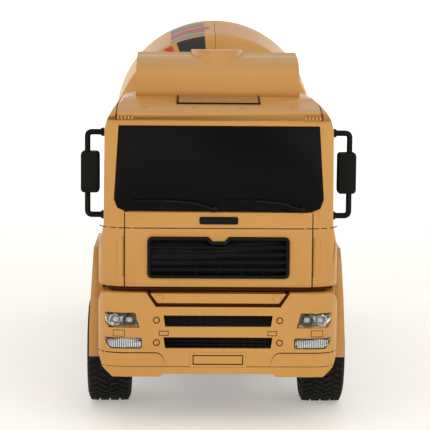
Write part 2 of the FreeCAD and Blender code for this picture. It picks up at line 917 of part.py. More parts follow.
def cab_floor():
    """The cab's floor, on two legs that stand on the deck."""
    plate = block(
        "cab_floor_plate",
        (-58, 58),
        (-174, "cab_back_y - 4"),
        ("cab_low_z - 3", "cab_low_z - 0.2"),
    )
    legs = [
        block("cab_leg_%d" % i, (-26, 26), (y, y + 10), ("deck_high_z", "cab_low_z - 3"))
        for i, y in enumerate((-172, -112))
    ]
    return fuse("cab_base", plate, *legs)


def grille_opening(name, gap):
    """The grille's outline, with the notch in the middle of its top edge."""
    w, low, high = "grille_half_width + (%s)" % gap, "grille_low_z - (%s)" % gap, "grille_high_z + (%s)" % gap
    outline = [
        (w + " - 2.3", low),
        (w + " - 0.7", low + " + 0.7"),
        (w, low + " + 2.3"),
        (w, high + " - 2.3"),
        (w + " - 0.7", high + " - 0.7"),
        (w + " - 2.3", high),
        (5.4, high),
        (3.4, high + " - 2.3"),
    ]
    return prism(name, "XZ", both_sides(outline), "cab_front_y - 1", "cab_front_y + 4")


def grille():
    """A shallow tray with four raised slats across it."""
    body = grille_opening("grille_body", 0)
    depth = cut(
        "grille_plate",
        body,
        block("grille_front", (-60, 60), (-205, "cab_front_y + 1.4"), (70, 110)),
    )
    rim = cut("grille_rim", grille_opening("grille_edge", 0), grille_opening("grille_inside", -1.3))
    slats = [
        block(
            "grille_slat_%d" % i,
            (-35.8, 35.8),
            ("cab_front_y", "cab_front_y + 1.6"),
            ("%s - 0.4" % z, "%s + 0.4" % z),
        )
        for i, z in enumerate((85.2, 89.3, 93.5, 97.7))
    ]
    return fuse("grille_whole", depth, rim, *slats)


def roof_deflector():
    """A hollow wind deflector, bulged forward, with a fin at each end."""
    front, back, low, high = "deflector_front_y", "deflector_back_y", "deflector_low_z", "deflector_high_z"
    curve = [
        (back, high),
        (back, low),
        (front + " - 1.4", low),
        (front + " - 1.5", low + " + 3"),
        (front + " + 0.5", low + " + 9"),
        (front + " + 5", low + " + 14.5"),
        (front + " + 12", low + " + 18.8"),
        (front + " + 21", low + " + 21.4"),
        (front + " + 31", high),
    ]
    w = "deflector_half_width"
    outer = prism("deflector_outer", "YZ", curve, "-(%s)" % w, w)
    hollow = [(back + " + 1", high + " - 2"), (back + " + 1", low + " - 1"), (front + " + 1", low + " - 1")]
    hollow += [
        (front + " + 1", low + " + 3"),
        (front + " + 3", low + " + 8.4"),
        (front + " + 7", low + " + 13"),
        (front + " + 14", low + " + 16.8"),
        (front + " + 22", low + " + 19.2"),
        (front + " + 31", high + " - 2"),
    ]
    inner = prism("deflector_inner", "YZ", hollow, "-(%s) + 1.6" % w, w + " - 1.6")
    return cut("deflector", outer, inner)


def mirror():
    """A tubular bar bent out of two flanges, with the mirror's case on it."""
    x, y, low, high = "mirror_bar_x", "mirror_y", "mirror_low_arm_z", "mirror_high_arm_z"
    bars = [
        rod("mirror_arm_low", "X", ("cab_half_width + 0.1", y, low), 1.55, "mirror_bar_x - cab_half_width"),
        rod(
            "mirror_arm_high",
            "X",
            ("cab_half_width + 0.1", y, high),
            1.55,
            "mirror_bar_x - cab_half_width",
        ),
        rod(
            "mirror_bar",
            "Z",
            (x, y, "mirror_low_arm_z - 1.55"),
            1.55,
            "mirror_high_arm_z - mirror_low_arm_z + 3.1",
        ),
        rod("mirror_flange_low", "X", ("cab_half_width + 0.1", y, low), 2.3, 1.4),
        rod("mirror_flange_high", "X", ("cab_half_width + 0.1", y, high), 2.3, 1.4),
    ]
    case = block(
        "mirror_case",
        ("mirror_in_x", "mirror_out_x"),
        (y + " - 3.5", y + " + 5"),
        ("mirror_low_z", "mirror_high_z"),
    )
    case = rounded("mirror_case_round", case, 2.4, lambda middle, edge: True)
    return fuse("mirror", case, *bars)


def fender():
    """The left flare over the front wheel, which steers inside its arch."""
    side = [
        ("fender_front_y", "fender_low_z"),
        ("fender_front_y - 1", "cab_low_z"),
        ("fender_front_y + 4", "fender_top_z - 6"),
        ("fender_front_y + 9", "fender_top_z"),
        ("fender_back_y - 14", "fender_top_z"),
        ("fender_back_y - 5", "fender_top_z - 8"),
        ("fender_back_y", "cab_low_z"),
        ("fender_back_y", "fender_low_z + 6"),
    ]
    x0 = "cab_flare_half_width + seat_gap"
    across = [
        (x0 + " - 3", 20),
        ("fender_half_width + 0.3", 20),
        ("fender_half_width", 50),
        ("fender_half_width - 2.1", "fender_top_z"),
        (x0 + " - 3", "fender_top_z"),
    ]
    flare = common(
        "fender_flare",
        prism("fender_side", "YZ", side, "cab_half_width - 2.9", "fender_half_width + 2"),
        prism("fender_across", "XZ", across, -190, -80),
    )
    arch = rod("fender_arch", "X", (40, "front_axle_y", "axle_z"), "arch_radius", 40)
    above = block("fender_room", (50, x0), (-190, -80), ("cab_low_z - 0.1", 100))
    bumper_room = block(
        "fender_bumper_room",
        (50, "bumper_half_width + seat_gap"),
        (-190, "bumper_back_y + 0.1"),
        (20, 80),
    )
    return cut("fender", flare, arch, above, bumper_room)


# ---------------------------------------------------------------- bumper


def bumper_solid(name, inset):
    w = "bumper_half_width - (%s)" % inset
    low, high = "bumper_low_z + (%s)" % inset, "bumper_high_z - (%s)" % inset
    across = [
        (29, low + " + 1.6"),
        (31, low),
        (56, low),
        (w + " - 2.2", low + " + 4.8"),
        (w, low + " + 12"),
        (w, high + " - 6.2"),
        (w + " - 0.6", high + " - 3.4"),
        (w + " - 2", high + " - 1.2"),
        (w + " - 5", high),
        (38, high),
        (33, "step_low_z - 1.4 - (%s)" % inset),
    ]
    front_view = prism(name + "_front", "XZ", both_sides(across), -210, -160)
    front, back = "bumper_front_y + (%s)" % inset, "bumper_back_y"
    plan = [
        (w, back),
        (w, front + " + 11"),
        (w + " - 1.2", front + " + 6.5"),
        (w + " - 4", front + " + 3"),
        (w + " - 8.5", front + " + 0.8"),
        (w + " - 14", front),
    ]
    plan_view = prism(name + "_plan", "XY", both_sides(plan), 20, 80)
    return common(name, front_view, plan_view)


def bumper():
    """The bumper's hollow shell with its two air intakes and its lamp openings."""
    shell = cut("bumper_skin", bumper_solid("bumper_outer", 0), bumper_solid("bumper_inner", "wall"))
    front = (-205, -190)
    tools = []
    for name, low, high in (
        ("upper", "upper_intake_low_z", "upper_intake_high_z"),
        ("lower", "lower_intake_low_z", "lower_intake_high_z"),
    ):
        outline = [("intake_half_width - 0.4", low), ("intake_half_width + 0.5", high)]
        tools.append(prism("bumper_intake_" + name, "XZ", both_sides(outline), *front))
    lamps = [lamp_outline("bumper_head", "seat_gap", True), lamp_outline("bumper_fog", "seat_gap", False)]
    for lamp in lamps:
        tools += [lamp, mirrored(lamp.Name + "_mirror", lamp)]
    plate = block(
        "bumper_plate",
        ("-plate_half_width", "plate_half_width"),
        ("-truck_length / 2", "bumper_front_y + 1"),
        ("plate_low_z", "plate_high_z"),
    )
    tools.append(
        block(
            "bumper_plate_dip",
            ("-plate_half_width + 1.6", "plate_half_width - 1.6"),
            (-205, "bumper_front_y + 0.2"),
            ("plate_low_z + 1.4", "plate_high_z - 1.4"),
        )
    )
    return cut("bumper_shell", fuse("bumper_with_plate", shell, plate), *tools)


def lamp_outline(name, gap, head):
    """The opening of a head lamp, or of the fog lamp under it, on the left side."""
    if head:
        low, high = "head_lamp_low_z - (%s)" % gap, "head_lamp_high_z + (%s)" % gap
        out, inside = "head_lamp_out_x + (%s)" % gap, "head_lamp_in_x - (%s)" % gap
        outline = [
            (inside, low),
            (out + " - 2", low),
            (out, low + " + 3"),
            (out, high),
            (inside + " + 2.4", high),
        ]
    else:
        low, high = "fog_lamp_low_z - (%s)" % gap, "fog_lamp_high_z + (%s)" % gap
        out, inside = "head_lamp_out_x + (%s)" % gap, "head_lamp_in_x - 1.2 - (%s)" % gap
        outline = [
            (inside, low + " + 0.8"),
            (inside + " + 0.8", low),
            (out + " - 3", low),
            (out + " - 0.9", low + " + 2.2"),
            (out, high + " - 1"),
            (out, high),
            (inside + " + 0.8", high),
            (inside, high + " - 0.8"),
        ]
    return prism(name, "XZ", outline, "-truck_length / 2", "-truck_length / 2 + 12")


def lamp_piece(name, head, front, back):
    """A slice of a lamp's opening between two depths behind the bumper's face."""
    whole = bumper_solid(name + "_form", "0.4")
    slice_ = block(
        name + "_slice",
        (30, 70),
        ("bumper_front_y + (%s)" % front, "bumper_front_y + (%s)" % back),
        (35, 70),
    )
    return pair(name, common(name + "_one", whole, slice_, lamp_outline(name + "_outline", 0, head)))


def intake_mesh():
    """A black panel close behind the two intakes."""
    y = "bumper_front_y + wall + seat_gap"
    panel = block("mesh_panel", (-33, 33), (y, "%s + 1.5" % y), (41, 63))
    bars = [
        block("mesh_bar_%d" % i, (-31, 31), (y + " + 1.5", y + " + 3"), (z, z + 1))
        for i, z in enumerate((45, 56.5))
    ]
    return fuse("mesh", panel, *bars)


def bumper_step():
    """The step bar that lies in the notch in the bumper's top edge."""
    outline = [("step_half_width - 4.2", "step_low_z"), ("step_half_width - 0.6", "bumper_high_z")]
    bar = prism("step_bar", "XZ", both_sides(outline), "-truck_length / 2 + 0.6", "-truck_length / 2 + 18")
    return bar


# ---------------------------------------------------------------- mixer frame


def roller_cradle():
    """The rear cradle: a cross beam with a fork for each roller."""
    middle = "track_start + track_width / 2"
    beam = block("cradle_beam", (-32.5, 32.5), (56, 82), ("rail_top_z", 86))
    plates = []
    for i, station in enumerate((middle + " - 8", middle + " + 4.6")):
        for side, x in enumerate(((-36, -15), (15, 36))):
            reach = (station, "(%s) + 3.4" % station)
            plates.append(block("fork_%d_%d" % (i, side), x, reach, ("-drum_z + 70", "-40.5")))
    forks = on_drum_axis(fuse("forks", *plates))
    bores = []
    for i, side in enumerate((-1, 1)):
        x, z = "%d * %s * sin(roller_angle)" % (
            side,
            ROLLER_REACH,
        ), "-%s * cos(roller_angle)" % ROLLER_REACH
        bores.append(rod("fork_bore_%d" % i, "Y", (x, 60, z), "roller_pin_radius + running_gap", 50))
    bore_set = on_drum_axis(fuse("fork_bores", *bores))
    floor = block("cradle_floor", (-60, 60), (0, 140), (0, "rail_top_z"))
    return cut("cradle", fuse("cradle_whole", beam, forks), bore_set, floor)


def mixer_frame():
    """Two long rails on the deck, tied by cross members, with the rollers' cradle."""
    pieces = []
    for i, (x0, x1) in enumerate((("-rail_out_x", "-rail_in_x"), ("rail_in_x", "rail_out_x"))):
        pieces.append(
            block("rail_%d" % i, (x0, x1), ("rail_front_y", "rail_back_y"), ("deck_high_z", "rail_top_z")),
        )
    for i, y in enumerate((-90, -30, 60, 148)):
        pieces.append(
            block(
                "cross_%d" % i,
                ("-rail_in_x", "rail_in_x"),
                (y, y + 8),
                ("deck_high_z + 4", "rail_top_z"),
            ),
        )
    room = [
        rod("frame_screw_room_%d" % i, "Z", (x, 145, "deck_high_z - 1"), 3, 4)
        for i, x in enumerate((-18, 18))
    ]
    return cut("frame_rails", fuse("rails", *pieces, roller_cradle()), *room)


def drum_pedestal():
    """The front tower: it carries the drum's front bearing and the drum motor."""
    outline = [
        ("tower_half_width", "rail_top_z"),
        ("tower_half_width - 2", 90),
        (15, 140),
        (14, 152),
        (9, 157.5),
    ]
    tower = prism("tower", "XZ", both_sides(outline), "tower_front_y", "tower_back_y")
    bore = on_drum_axis(rod_on_drum("tower_bore", 0, -80, "drum_shaft_radius + running_gap", 60))
    motor = on_drum_axis(rod_on_drum("tower_motor_bore", GEAR_OFFSET, -100, "motor_radius + 0.02", 60))
    window = block("tower_window", (-12, 12), (-95, -75), (70, 96))
    return cut("pedestal", tower, bore, motor, window)


def rod_on_drum(name, drop, station, radius, length):
    """A cylinder along the drum's axis, dropped below it; on_drum_axis tilts it."""
    body, sketch = sketched(
        name,
        "YZ_Plane",
        [
            (station, "-(%s)" % drop),
            ("(%s) + (%s)" % (station, length), "-(%s)" % drop),
            ("(%s) + (%s)" % (station, length), "(%s) - (%s)" % (radius, drop)),
            (station, "(%s) - (%s)" % (radius, drop)),
        ],
    )
    turn = body.newObject("PartDesign::Revolution", name + "_turn")
    turn.Profile = sketch
    turn.ReferenceAxis = (sketch, ["Edge1"]) if number(drop) else (sketch, ["H_Axis"])
    return body


def drum_motor():
    can = on_drum_axis(
        rod_on_drum("drum_can", GEAR_OFFSET, "-62 - motor_length", "motor_radius", "motor_length"),
    )
    bore = on_drum_axis(rod_on_drum("drum_can_bore", GEAR_OFFSET, -72, "1 + running_gap", 12))
    return cut("drum_motor_whole", can, bore)


def drum_pinion():
    shaft = on_drum_axis(rod_on_drum("drum_pinion_shaft", GEAR_OFFSET, -70, 1, 23))
    wheel = gear("drum_pinion_gear", "pinion_teeth", "gear_width")
    on_gear_station(wheel, GEAR_OFFSET, 180 / number("pinion_teeth"))
    return fuse("drum_pinion_whole", shaft, wheel)


def on_gear_station(wheel, drop, turn=0):
    """Stands a gear square to the drum's axis, just ahead of the drum's nose."""
    tilt = Rotation(Vector(1, 0, 0), number("drum_tilt") + 90)
    wheel.Placement = FreeCAD.Placement(Vector(), tilt * Rotation(Vector(0, 0, 1), turn))
    y = "drum_y + (drum_nose - 1) * cos(drum_tilt) + (%s) * sin(drum_tilt)" % drop
    z = "drum_z + (drum_nose - 1) * sin(drum_tilt) - (%s) * cos(drum_tilt)" % drop
    return put(wheel, 0, y, z)


def drum_gear():
    """The drum's crown gear and its front shaft."""
    shaft = on_drum_axis(
        turned_on_drum(
            "gear_shaft",
            [
                (-67, 0),
                ("drum_nose", 0),
                ("drum_nose", 6),
                ("drum_nose - 1", 6),
                ("drum_nose - 1", "drum_shaft_radius"),
                (-67, "drum_shaft_radius"),
            ],
        ),
    )
    wheel = gear("crown", "drum_teeth", "gear_width")
    on_gear_station(wheel, 0)
    return fuse("crown_whole", shaft, wheel)


def drum_shells():
    """The drum: one turned shell, parted along the middle plane."""
    start, end, t = "-drum_half_cylinder", "drum_half_cylinder", "drum_wall"
    outline = [
        ("drum_nose", 0),
        ("drum_nose", "drum_nose_radius"),
        (start + " - 13", "drum_radius - 17"),
        (start + " - 3", "drum_radius - 2.4"),
        (start, "drum_radius"),
        (end, "drum_radius"),
        (end + " + 4", "drum_radius - 0.8"),
        ("drum_mouth - 6", "drum_mouth_radius + 2"),
        ("drum_mouth - 6", "drum_mouth_radius + 4"),
        ("drum_mouth", "drum_mouth_radius + 4"),
        ("drum_mouth", "drum_mouth_radius"),
        ("drum_mouth - 6", "drum_mouth_radius"),
        (end + " + 3.6", "drum_radius - 0.8 - " + t),
        (end, "drum_radius - " + t),
        (start, "drum_radius - " + t),
        (start + " - 1.8", "drum_radius - 2.4 - " + t),
        (start + " - 12", "drum_radius - 17 - " + t),
        ("drum_nose + %s" % t, "drum_nose_radius - 0.5"),
        ("drum_nose + %s" % t, 0),
    ]
    whole = turned_on_drum("drum_turned", outline)
    right = block("drum_right_room", (-80, 0), (-80, 160), (-80, 80))
    left = block("drum_left_room", (0, 80), (-80, 160), (-80, 80))
    for label, room in (("drum_shell_left", right), ("drum_shell_right", left)):
        node(label, on_drum_axis(cut(label + "_half", whole, room)))


def drum_track():
    """The ring that the drum rolls on."""
    start, end = "track_start", "track_start + track_width"
    slope = "(drum_radius - 0.8 - drum_mouth_radius - 2) / (drum_mouth - 10 - drum_half_cylinder)"
    outline = [
        (start, "drum_radius - 0.8 - (track_start - drum_half_cylinder - 4) * %s + 0.05" % slope),
        (start, "track_radius"),
        (end, "track_radius"),
        (
            end,
            "drum_radius - 0.8 - (track_start + track_width - drum_half_cylinder - 4) * %s + 0.05" % slope,
        ),
    ]
    return on_drum_axis(turned_on_drum("track", outline))


def roller(name, side):
    """A flanged roller on its pin, beside the bottom of the track."""
    middle = "track_start + track_width / 2"
    body = turned_on_drum(
        name,
        [
            (middle + " - 8.5", 0),
            (middle + " - 8.5", "roller_pin_radius"),
            (middle + " - 4", "roller_pin_radius"),
            (middle + " - 4", "roller_radius"),
            (middle + " + 4", "roller_radius"),
            (middle + " + 4", "roller_pin_radius"),
            (middle + " + 8.5", "roller_pin_radius"),
            (middle + " + 8.5", 0),
        ],
    )
    tilt = Rotation(Vector(1, 0, 0), number("drum_tilt"))
    body.Placement = FreeCAD.Placement(Vector(), tilt)
    return put(
        body,
        "%s * %s * sin(roller_angle)" % (side, ROLLER_REACH),
        "drum_y + %s * cos(roller_angle) * sin(drum_tilt)" % ROLLER_REACH,
        "drum_z - %s * cos(roller_angle) * cos(drum_tilt)" % ROLLER_REACH,
    )


def rear_frame():
    """Two posts and a top bridge behind the drum's mouth, with the chute's pivot."""
    pieces = []
    for i, (x0, x1) in enumerate(((-38, -33), (33, 38))):
        pieces.append(block("post_%d" % i, (x0, x1), (112, 122), (67, 190)))
    pieces.append(block("foot_bar", (-38, 38), (112, 122), (67, 73)))
    for i, (x0, x1) in enumerate((("-rail_out_x", "-rail_in_x"), ("rail_in_x", "rail_out_x"))):
        pieces.append(block("foot_%d" % i, (x0, x1), (112, 122), ("rail_top_z", 67)))
    pieces.append(block("tail_beam", (-14, 14), (112, 158), ("rail_top_z", 67)))
    pieces.append(rod("pivot_post", "Z", (0, "chute_pivot_y", 67), 9, "chute_pivot_z - 67"))
    bore = rod("pivot_bore", "Z", (0, "chute_pivot_y", 62), "3 + running_gap", 30)
    return cut("rear_frame_whole", fuse("rear_frame_joined", *pieces, ladder()), bore)


def ladder():
    """A ladder up to the hopper, beside the right-hand post."""
    rails = [rod("ladder_rail_%d" % i, "Z", (x, 117, 70), 1.5, 84) for i, x in enumerate((-60, -46))]
    rungs = [rod("ladder_rung_%d" % i, "X", (-60, 117, 80 + i * 13), 1.2, 14) for i in range(6)]
    ties = [rod("ladder_tie_%d" % i, "X", (-46, 117, z), 1.3, 10) for i, z in enumerate((86, 150))]
    return fuse("ladder_whole", *rails, *rungs, *ties)


def hopper():
    """The charging hopper: a funnel with a slanted spout into the drum's mouth."""
    low, high = "hopper_low_z", "hopper_high_z"
    outer = wedge("hopper_outer", (-14, 14, 108, 128), (-24, 24, 100, 152), (low, high))
    inner = wedge("hopper_inner", (-12, 12, 110, 126), (-22.4, 22.4, 101.6, 150.4), (low, high))
    spout = on_drum_axis(turned_on_drum("spout_outer", [(112, 12), (150, 12), (150, 14), (112, 14)]))
    spout_core = on_drum_axis(rod_on_drum("spout_core", 0, 100, 12, 60))
    trim = block("spout_trim", (-20, 20), (100, 170), (178, 230))
    ears = [
        block("hopper_ear_%d" % i, x, (112, 122), (190.1, 194))
        for i, x in enumerate(((-38, -18), (18, 38)))
    ]
    funnel = cut("hopper_funnel", fuse("hopper_form", outer, *ears), inner, spout_core)
    pipe = cut("hopper_pipe", spout, trim)
    return fuse("hopper_whole", funnel, pipe)


def discharge_funnel():
    """The collector under the drum's mouth that leads into the chute."""
    outer = wedge("collector_outer", (-11, 11, 128, 150), (-32.8, 32.8, 107, 152), (112, 146))
    inner = wedge("collector_inner", (-9, 9, 130, 148), (-31, 31, 107, 150.2), (112, 146))
    front = block("collector_front", (-40, 40), (90, 107.5), (130, 150))
    drum_room = on_drum_axis(rod_on_drum("collector_room", 0, 100, 30.5, "drum_mouth - 100 + 1.5"))
    posts = [
        block("collector_room_%d" % i, x, (111.9, 122.1), (60, 200))
        for i, x in enumerate(((-38, -32.95), (32.95, 38)))
    ]
    arms = [
        block("collector_arm_%d" % i, x, (124, 128), (134, 138))
        for i, x in enumerate(((-38, -24), (24, 38)))
    ]
    ties = [
        block("collector_tie_%d" % i, x, (122, 128), (134, 138))
        for i, x in enumerate(((-38, -33), (33, 38)))
    ]
    return cut("collector", fuse("collector_form", outer, *arms, *ties), inner, front, drum_room, *posts)


def chute_swivel():
    """The turntable that carries the chute, with a pin down into the pivot post."""
    plate = rod("swivel_plate", "Z", (0, "chute_pivot_y", "chute_pivot_z + 0.3"), 6, 3)
    pin = rod("swivel_pin", "Z", (0, "chute_pivot_y", "chute_pivot_z - 16"), 3, 18)
    ears = [
        block(
            "swivel_ear_%d" % i,
            x,
            ("chute_pivot_y - 4", "chute_pivot_y + 4"),
            ("chute_pivot_z + 3.3", "chute_hinge_z + 3.5"),
        )
        for i, x in enumerate(((-18, -15), (15, 18)))
    ]
    bar = block(
        "swivel_bar",
        (-18, 18),
        ("chute_pivot_y - 4", "chute_pivot_y + 4"),
        ("chute_pivot_z + 0.3", "chute_pivot_z + 3.3"),
    )
    bore = rod("swivel_bore", "X", (-30, "chute_pivot_y", "chute_hinge_z"), "1.5 + running_gap", 60)
    return cut("swivel", fuse("swivel_whole", plate, pin, bar, *ears), bore)


def trough(name, start, end, half, depth, low):
    """A U-shaped trough along +Y, open at the top and at both ends."""

    def lifted(points):
        return [("(%s) + (%s)" % (half, x), "(%s) + (%s)" % (low, z)) for x, z in points]

    outer = lifted([(-6, 0), (-2.4, 1.6), (0, 5), (0, depth)])
    inner = lifted([(-6.5, 1.6), (-3.5, 2.8), (-1.6, 5.3), (-1.6, "%s + 1" % depth)])
    form = prism(name + "_outer", "XZ", both_sides(outer), start, end)
    space = prism(name + "_inner", "XZ", both_sides(inner), "(%s) - 1" % start, "(%s) + 1" % end)
    return cut(name, form, space)


def sloped(obj, along=0, up=0):
    """Slopes a piece with the chute; along and up measure from the chute's own hinge."""
    obj.Placement = FreeCAD.Placement(Vector(), Rotation(Vector(1, 0, 0), -number("chute_slope")))
    return put(
        obj,
        0,
        "chute_pivot_y + (%s) * cos(chute_slope) + (%s) * sin(chute_slope)" % (along, up),
        "chute_hinge_z - (%s) * sin(chute_slope) + (%s) * cos(chute_slope)" % (along, up),
    )


def chute():
    """The main chute, hinged on the swivel's ears by two stub pins."""
    w, rim = "chute_half_width", "chute_depth - chute_pin_height"
    body = trough("chute_trough", -9, "chute_length", w, "chute_depth", "-chute_pin_height")
    pins = [rod("chute_pin_%d" % i, "X", (x, 0, 0), 1.5, 5.4) for i, x in enumerate((-18, 12.6))]
    lug_y = ("chute_length - 6", "chute_length")
    sides = (("-chute_half_width", "-chute_half_width + 1.4"), ("chute_half_width - 1.4", w))
    lugs = [block("chute_lug_%d" % i, x, lug_y, (rim, rim + " + 4")) for i, x in enumerate(sides)]
    bore = rod("chute_bore", "X", (-30, "chute_length - 3", rim + " + 2"), "0.9 + running_gap", 60)
    return sloped(cut("chute_whole", fuse("chute_joined", body, *pins, *lugs), bore))


def chute_extension():
    """The fold-over end of the chute, stored upside down on the main chute."""
    body = trough(
        "extension_trough",
        "-chute_length + 18",
        -4.4,
        "chute_half_width - 0.6",
        "chute_depth - 1",
        0,
    )
    flipped = group("extension_flipped", body)
    flipped.Placement = FreeCAD.Placement(Vector(), Rotation(Vector(0, 1, 0), 180))
    put(flipped, 0, 0, "chute_depth + 0.5")
    sides = ((-11.2, -8.8), (8.8, 11.2))
    arms = [block("extension_arm_%d" % i, x, (-6.5, 1.6), (-1.6, 4)) for i, x in enumerate(sides)]
    pin = rod("extension_pin", "X", ("-chute_half_width + 0.2", 0, 0), 0.9, "2 * chute_half_width - 0.4")
    hinge_up = "chute_depth - chute_pin_height + 2"
    return sloped(fuse("extension", flipped, *arms, pin), "chute_length - 3", hinge_up)


# ---------------------------------------------------------------- side and rear fittings


def fuel_tank():
    """A strapped tank on the right side, between the front and the middle wheels."""
    tank = block("tank_box", (-64, -38), (-70, -8), (24, 50))
    tank = rounded("tank_round", tank, 4, lambda middle, edge: runs_along(edge, Vector(0, 1, 0)))
    straps = []
    for i, y in enumerate((-60, -24)):
        band = block("strap_%d" % i, (-64.8, -37.2), (y, y + 5), (23.2, 50.8))
        band = rounded(
            "strap_round_%d" % i,
            band,
            4.4,
            lambda middle,
            edge: runs_along(edge, Vector(0, 1, 0)),
        )
        straps.append(band)
        straps.append(
            block("strap_ear_%d" % i, (-38, "-deck_half_width"), (y, y + 5), ("deck_low_z", "deck_high_z")),
        )
    cap = rod("tank_cap", "Z", (-56, -62, 49), 3.6, 4)
    return fuse("tank", tank, cap, *straps)


def water_tank():
    """A round tank on the left side, lying along the frame."""
    body = rod("water_body", "Y", (50, -70, 38), 13, 62)
    body = rounded("water_round", body, 3, lambda middle, edge: edge.Curve.TypeId == "Part::GeomCircle")
    bands = [rod("water_band_%d" % i, "Y", (50, y, 38), 13.8, 4) for i, y in enumerate((-60, -22))]
    ears = [
        block("water_ear_%d" % i, ("deck_half_width", 42), (y, y + 4), ("deck_low_z", "deck_high_z"))
        for i, y in enumerate((-60, -22))
    ]
    return fuse("water", body, *bands, *ears)


def rear_fenders():
    """A pair of mudguards that follow the two rear wheels of each side."""
    outer, inner = "tyre_radius + 6.5", "tyre_radius + 5"
    made = []
    arcs = [
        rod("guard_outer_%d" % i, "X", (33, y, "axle_z"), outer, 36)
        for i, y in enumerate(("mid_axle_y", "rear_axle_y"))
    ]
    rooms = [
        rod("guard_inner_%d" % i, "X", (32, y, "axle_z"), inner, 38)
        for i, y in enumerate(("mid_axle_y", "rear_axle_y"))
    ]
    low = block("guard_low", (32, 70), (0, 200), (-20, 40))
    shell = cut("guard", fuse("guard_form", *arcs), *rooms, low)
    ears = [
        block("guard_ear_%d" % i, ("rail_out_x", 34), (y, y + 5), (56, 58.5))
        for i, y in enumerate((30, 145))
    ]
    post = cut(
        "guard_side",
        fuse("guard_whole", shell, *ears),
        *[
            rod("guard_ear_room_%d" % i, "X", (32, y, "axle_z"), inner, 38)
            for i, y in enumerate(("mid_axle_y", "rear_axle_y"))
        ],
    )
    made.append(post)
    return pair("guards", *made)


def rear_bumper():
    beam = block("rear_beam", (-62, 62), (166, 172), ("rear_bumper_low_z", "rear_bumper_low_z + 14"))
    beam = rounded("rear_beam_round", beam, 1.5, lambda middle, edge: runs_along(edge, Vector(1, 0, 0)))
    arms = [
        block(
            "rear_arm_%d" % i,
            x,
            ("tray_back_y + 0.1", 167),
            ("rear_bumper_low_z + 4", "rear_bumper_low_z + 9"),
        )
        for i, x in enumerate(((-24, -16), (16, 24)))
    ]
    plate = block(
        "rear_plate_dip",
        (-16, 16),
        (171.4, 173),
        ("rear_bumper_low_z + 2.5", "rear_bumper_low_z + 11.5"),
    )
    sockets = [
        block(
            "rear_socket_%d" % i,
            x,
            (170.9, 173),
            ("rear_bumper_low_z + 2.9", "rear_bumper_low_z + 11.1"),
        )
        for i, x in enumerate(((-58.1, -37.9), (37.9, 58.1)))
    ]
    return cut("rear_bumper_whole", fuse("rear_bumper_form", beam, *arms), plate, *sockets)


def tail_lights():
    lamp = block("tail_lamp", (38, 58), (171, 173.2), ("rear_bumper_low_z + 3", "rear_bumper_low_z + 11"))
    lamp = rounded("tail_lamp_round", lamp, 0.7, lambda middle, edge: middle.y > 173.1)
    return pair("tail_lamps", lamp)


def dual_tyres(name, y):
    """The four tyres of one rear axle."""
    tyres = []
    for index in range(2):
        inner = "rear_tyre_inner_x + %d * rear_tyre_pitch" % index
        tyres.append(tyre("%s_%d" % (name, index), inner, "rear_tyre_width", y))
    side = group(name + "_side", *tyres)
    return pair(name, side)


# ---------------------------------------------------------------- assembly

node("chassis_tray", chassis_tray())
node("battery_door", battery_door())
node("battery_pack", battery_pack())
node("chassis_deck", chassis_deck())
node("deck_screws", screws())
node("front_axle_carrier", front_axle_carrier())
left_knuckle = node("knuckle_left", knuckle())
node("knuckle_right", mirrored("knuckle_mirror", left_knuckle))
node("tie_rod", tie_rod())
node("steering_servo", steering_servo())
node("servo_horn", servo_horn())
left_tyre = node(
    "front_tyre_left",
    tyre("front_tyre", "front_tyre_inner_x", "front_tyre_width", "front_axle_y"),
)
node("front_tyre_right", mirrored("front_tyre_mirror", left_tyre))
left_rim = node("front_rim_left", front_rim("front_rim"))
node("front_rim_right", mirrored("front_rim_mirror", left_rim))
for index, axle_y in enumerate(("mid_axle_y", "rear_axle_y"), start=1):
    shaft = rear_axle("axle_%d" % index, axle_y, index == 1)
    node("rear_axle_%d" % index, shaft)
    node("rear_rims_%d" % index, pair("dual_rims_%d" % index, dual_rim("dual_rim_%d" % index, axle_y)))
    node("rear_tyres_%d" % index, dual_tyres("dual_tyre_%d" % index, axle_y))
node("drive_motor", drive_motor())
node("motor_pinion", motor_pinion())
node("switch_knob", switch_knob())

cab_pieces()
node("cab_floor", cab_floor())
node("grille", grille())
node("roof_deflector", roof_deflector())
node("mirrors", pair("mirror_pair", mirror()))
node("front_fenders", pair("fender_pair", fender()))

node("bumper", bumper())
node("bumper_step", bumper_step())
node("intake_mesh", intake_mesh())
head_lenses = lamp_piece("head_lenses", True, 0, 2.2)
fog_lenses = lamp_piece("fog_lenses", False, 0, 2.6)
node("lamp_lenses", group("lenses", head_lenses, fog_lenses))
node("headlight_reflectors", lamp_piece("head_bowls", True, 2.3, 6))

node("mixer_frame", mixer_frame())
node("drum_pedestal", drum_pedestal())
node("drum_motor", drum_motor())
node("drum_pinion", drum_pinion())
node("drum_gear", drum_gear())
drum_shells()
node("drum_track", drum_track())
node("roller_left", roller("roller_one", "1"))
node("roller_right", roller("roller_two", "-1"))
node("rear_frame", rear_frame())
node("hopper", hopper())
node("discharge_funnel", discharge_funnel())
node("chute_swivel", chute_swivel())
node("chute", chute())
node("chute_extension", chute_extension())
node("fuel_tank", fuel_tank())
node("water_tank", water_tank())
node("rear_fenders", rear_fenders())
node("rear_bumper", rear_bumper())
node("tail_lights", tail_lights())

# ---------------------------------------------------------------- checks and files

doc.recompute()
for item in doc.Objects:
    if "Invalid" in item.State or "Error" in item.State:
        raise RuntimeError("%s did not compute: %s" % (item.Name, item.State))
for piece in nodes:
    if piece.Shape.isNull() or not piece.Shape.isValid():
        raise RuntimeError("%s has no valid shape" % piece.Label)
    if not piece.Shape.Solids:
        raise RuntimeError("%s holds no solid" % piece.Label)
if len(nodes) > 60:
    raise RuntimeError("too many nodes: %d" % len(nodes))

os.makedirs("parts", exist_ok=True)
for piece in nodes:
    piece.Shape.exportStep("parts/%s.step" % piece.Label)
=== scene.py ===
import json
import math

import bmesh
import bpy
from mathutils import Matrix, Vector


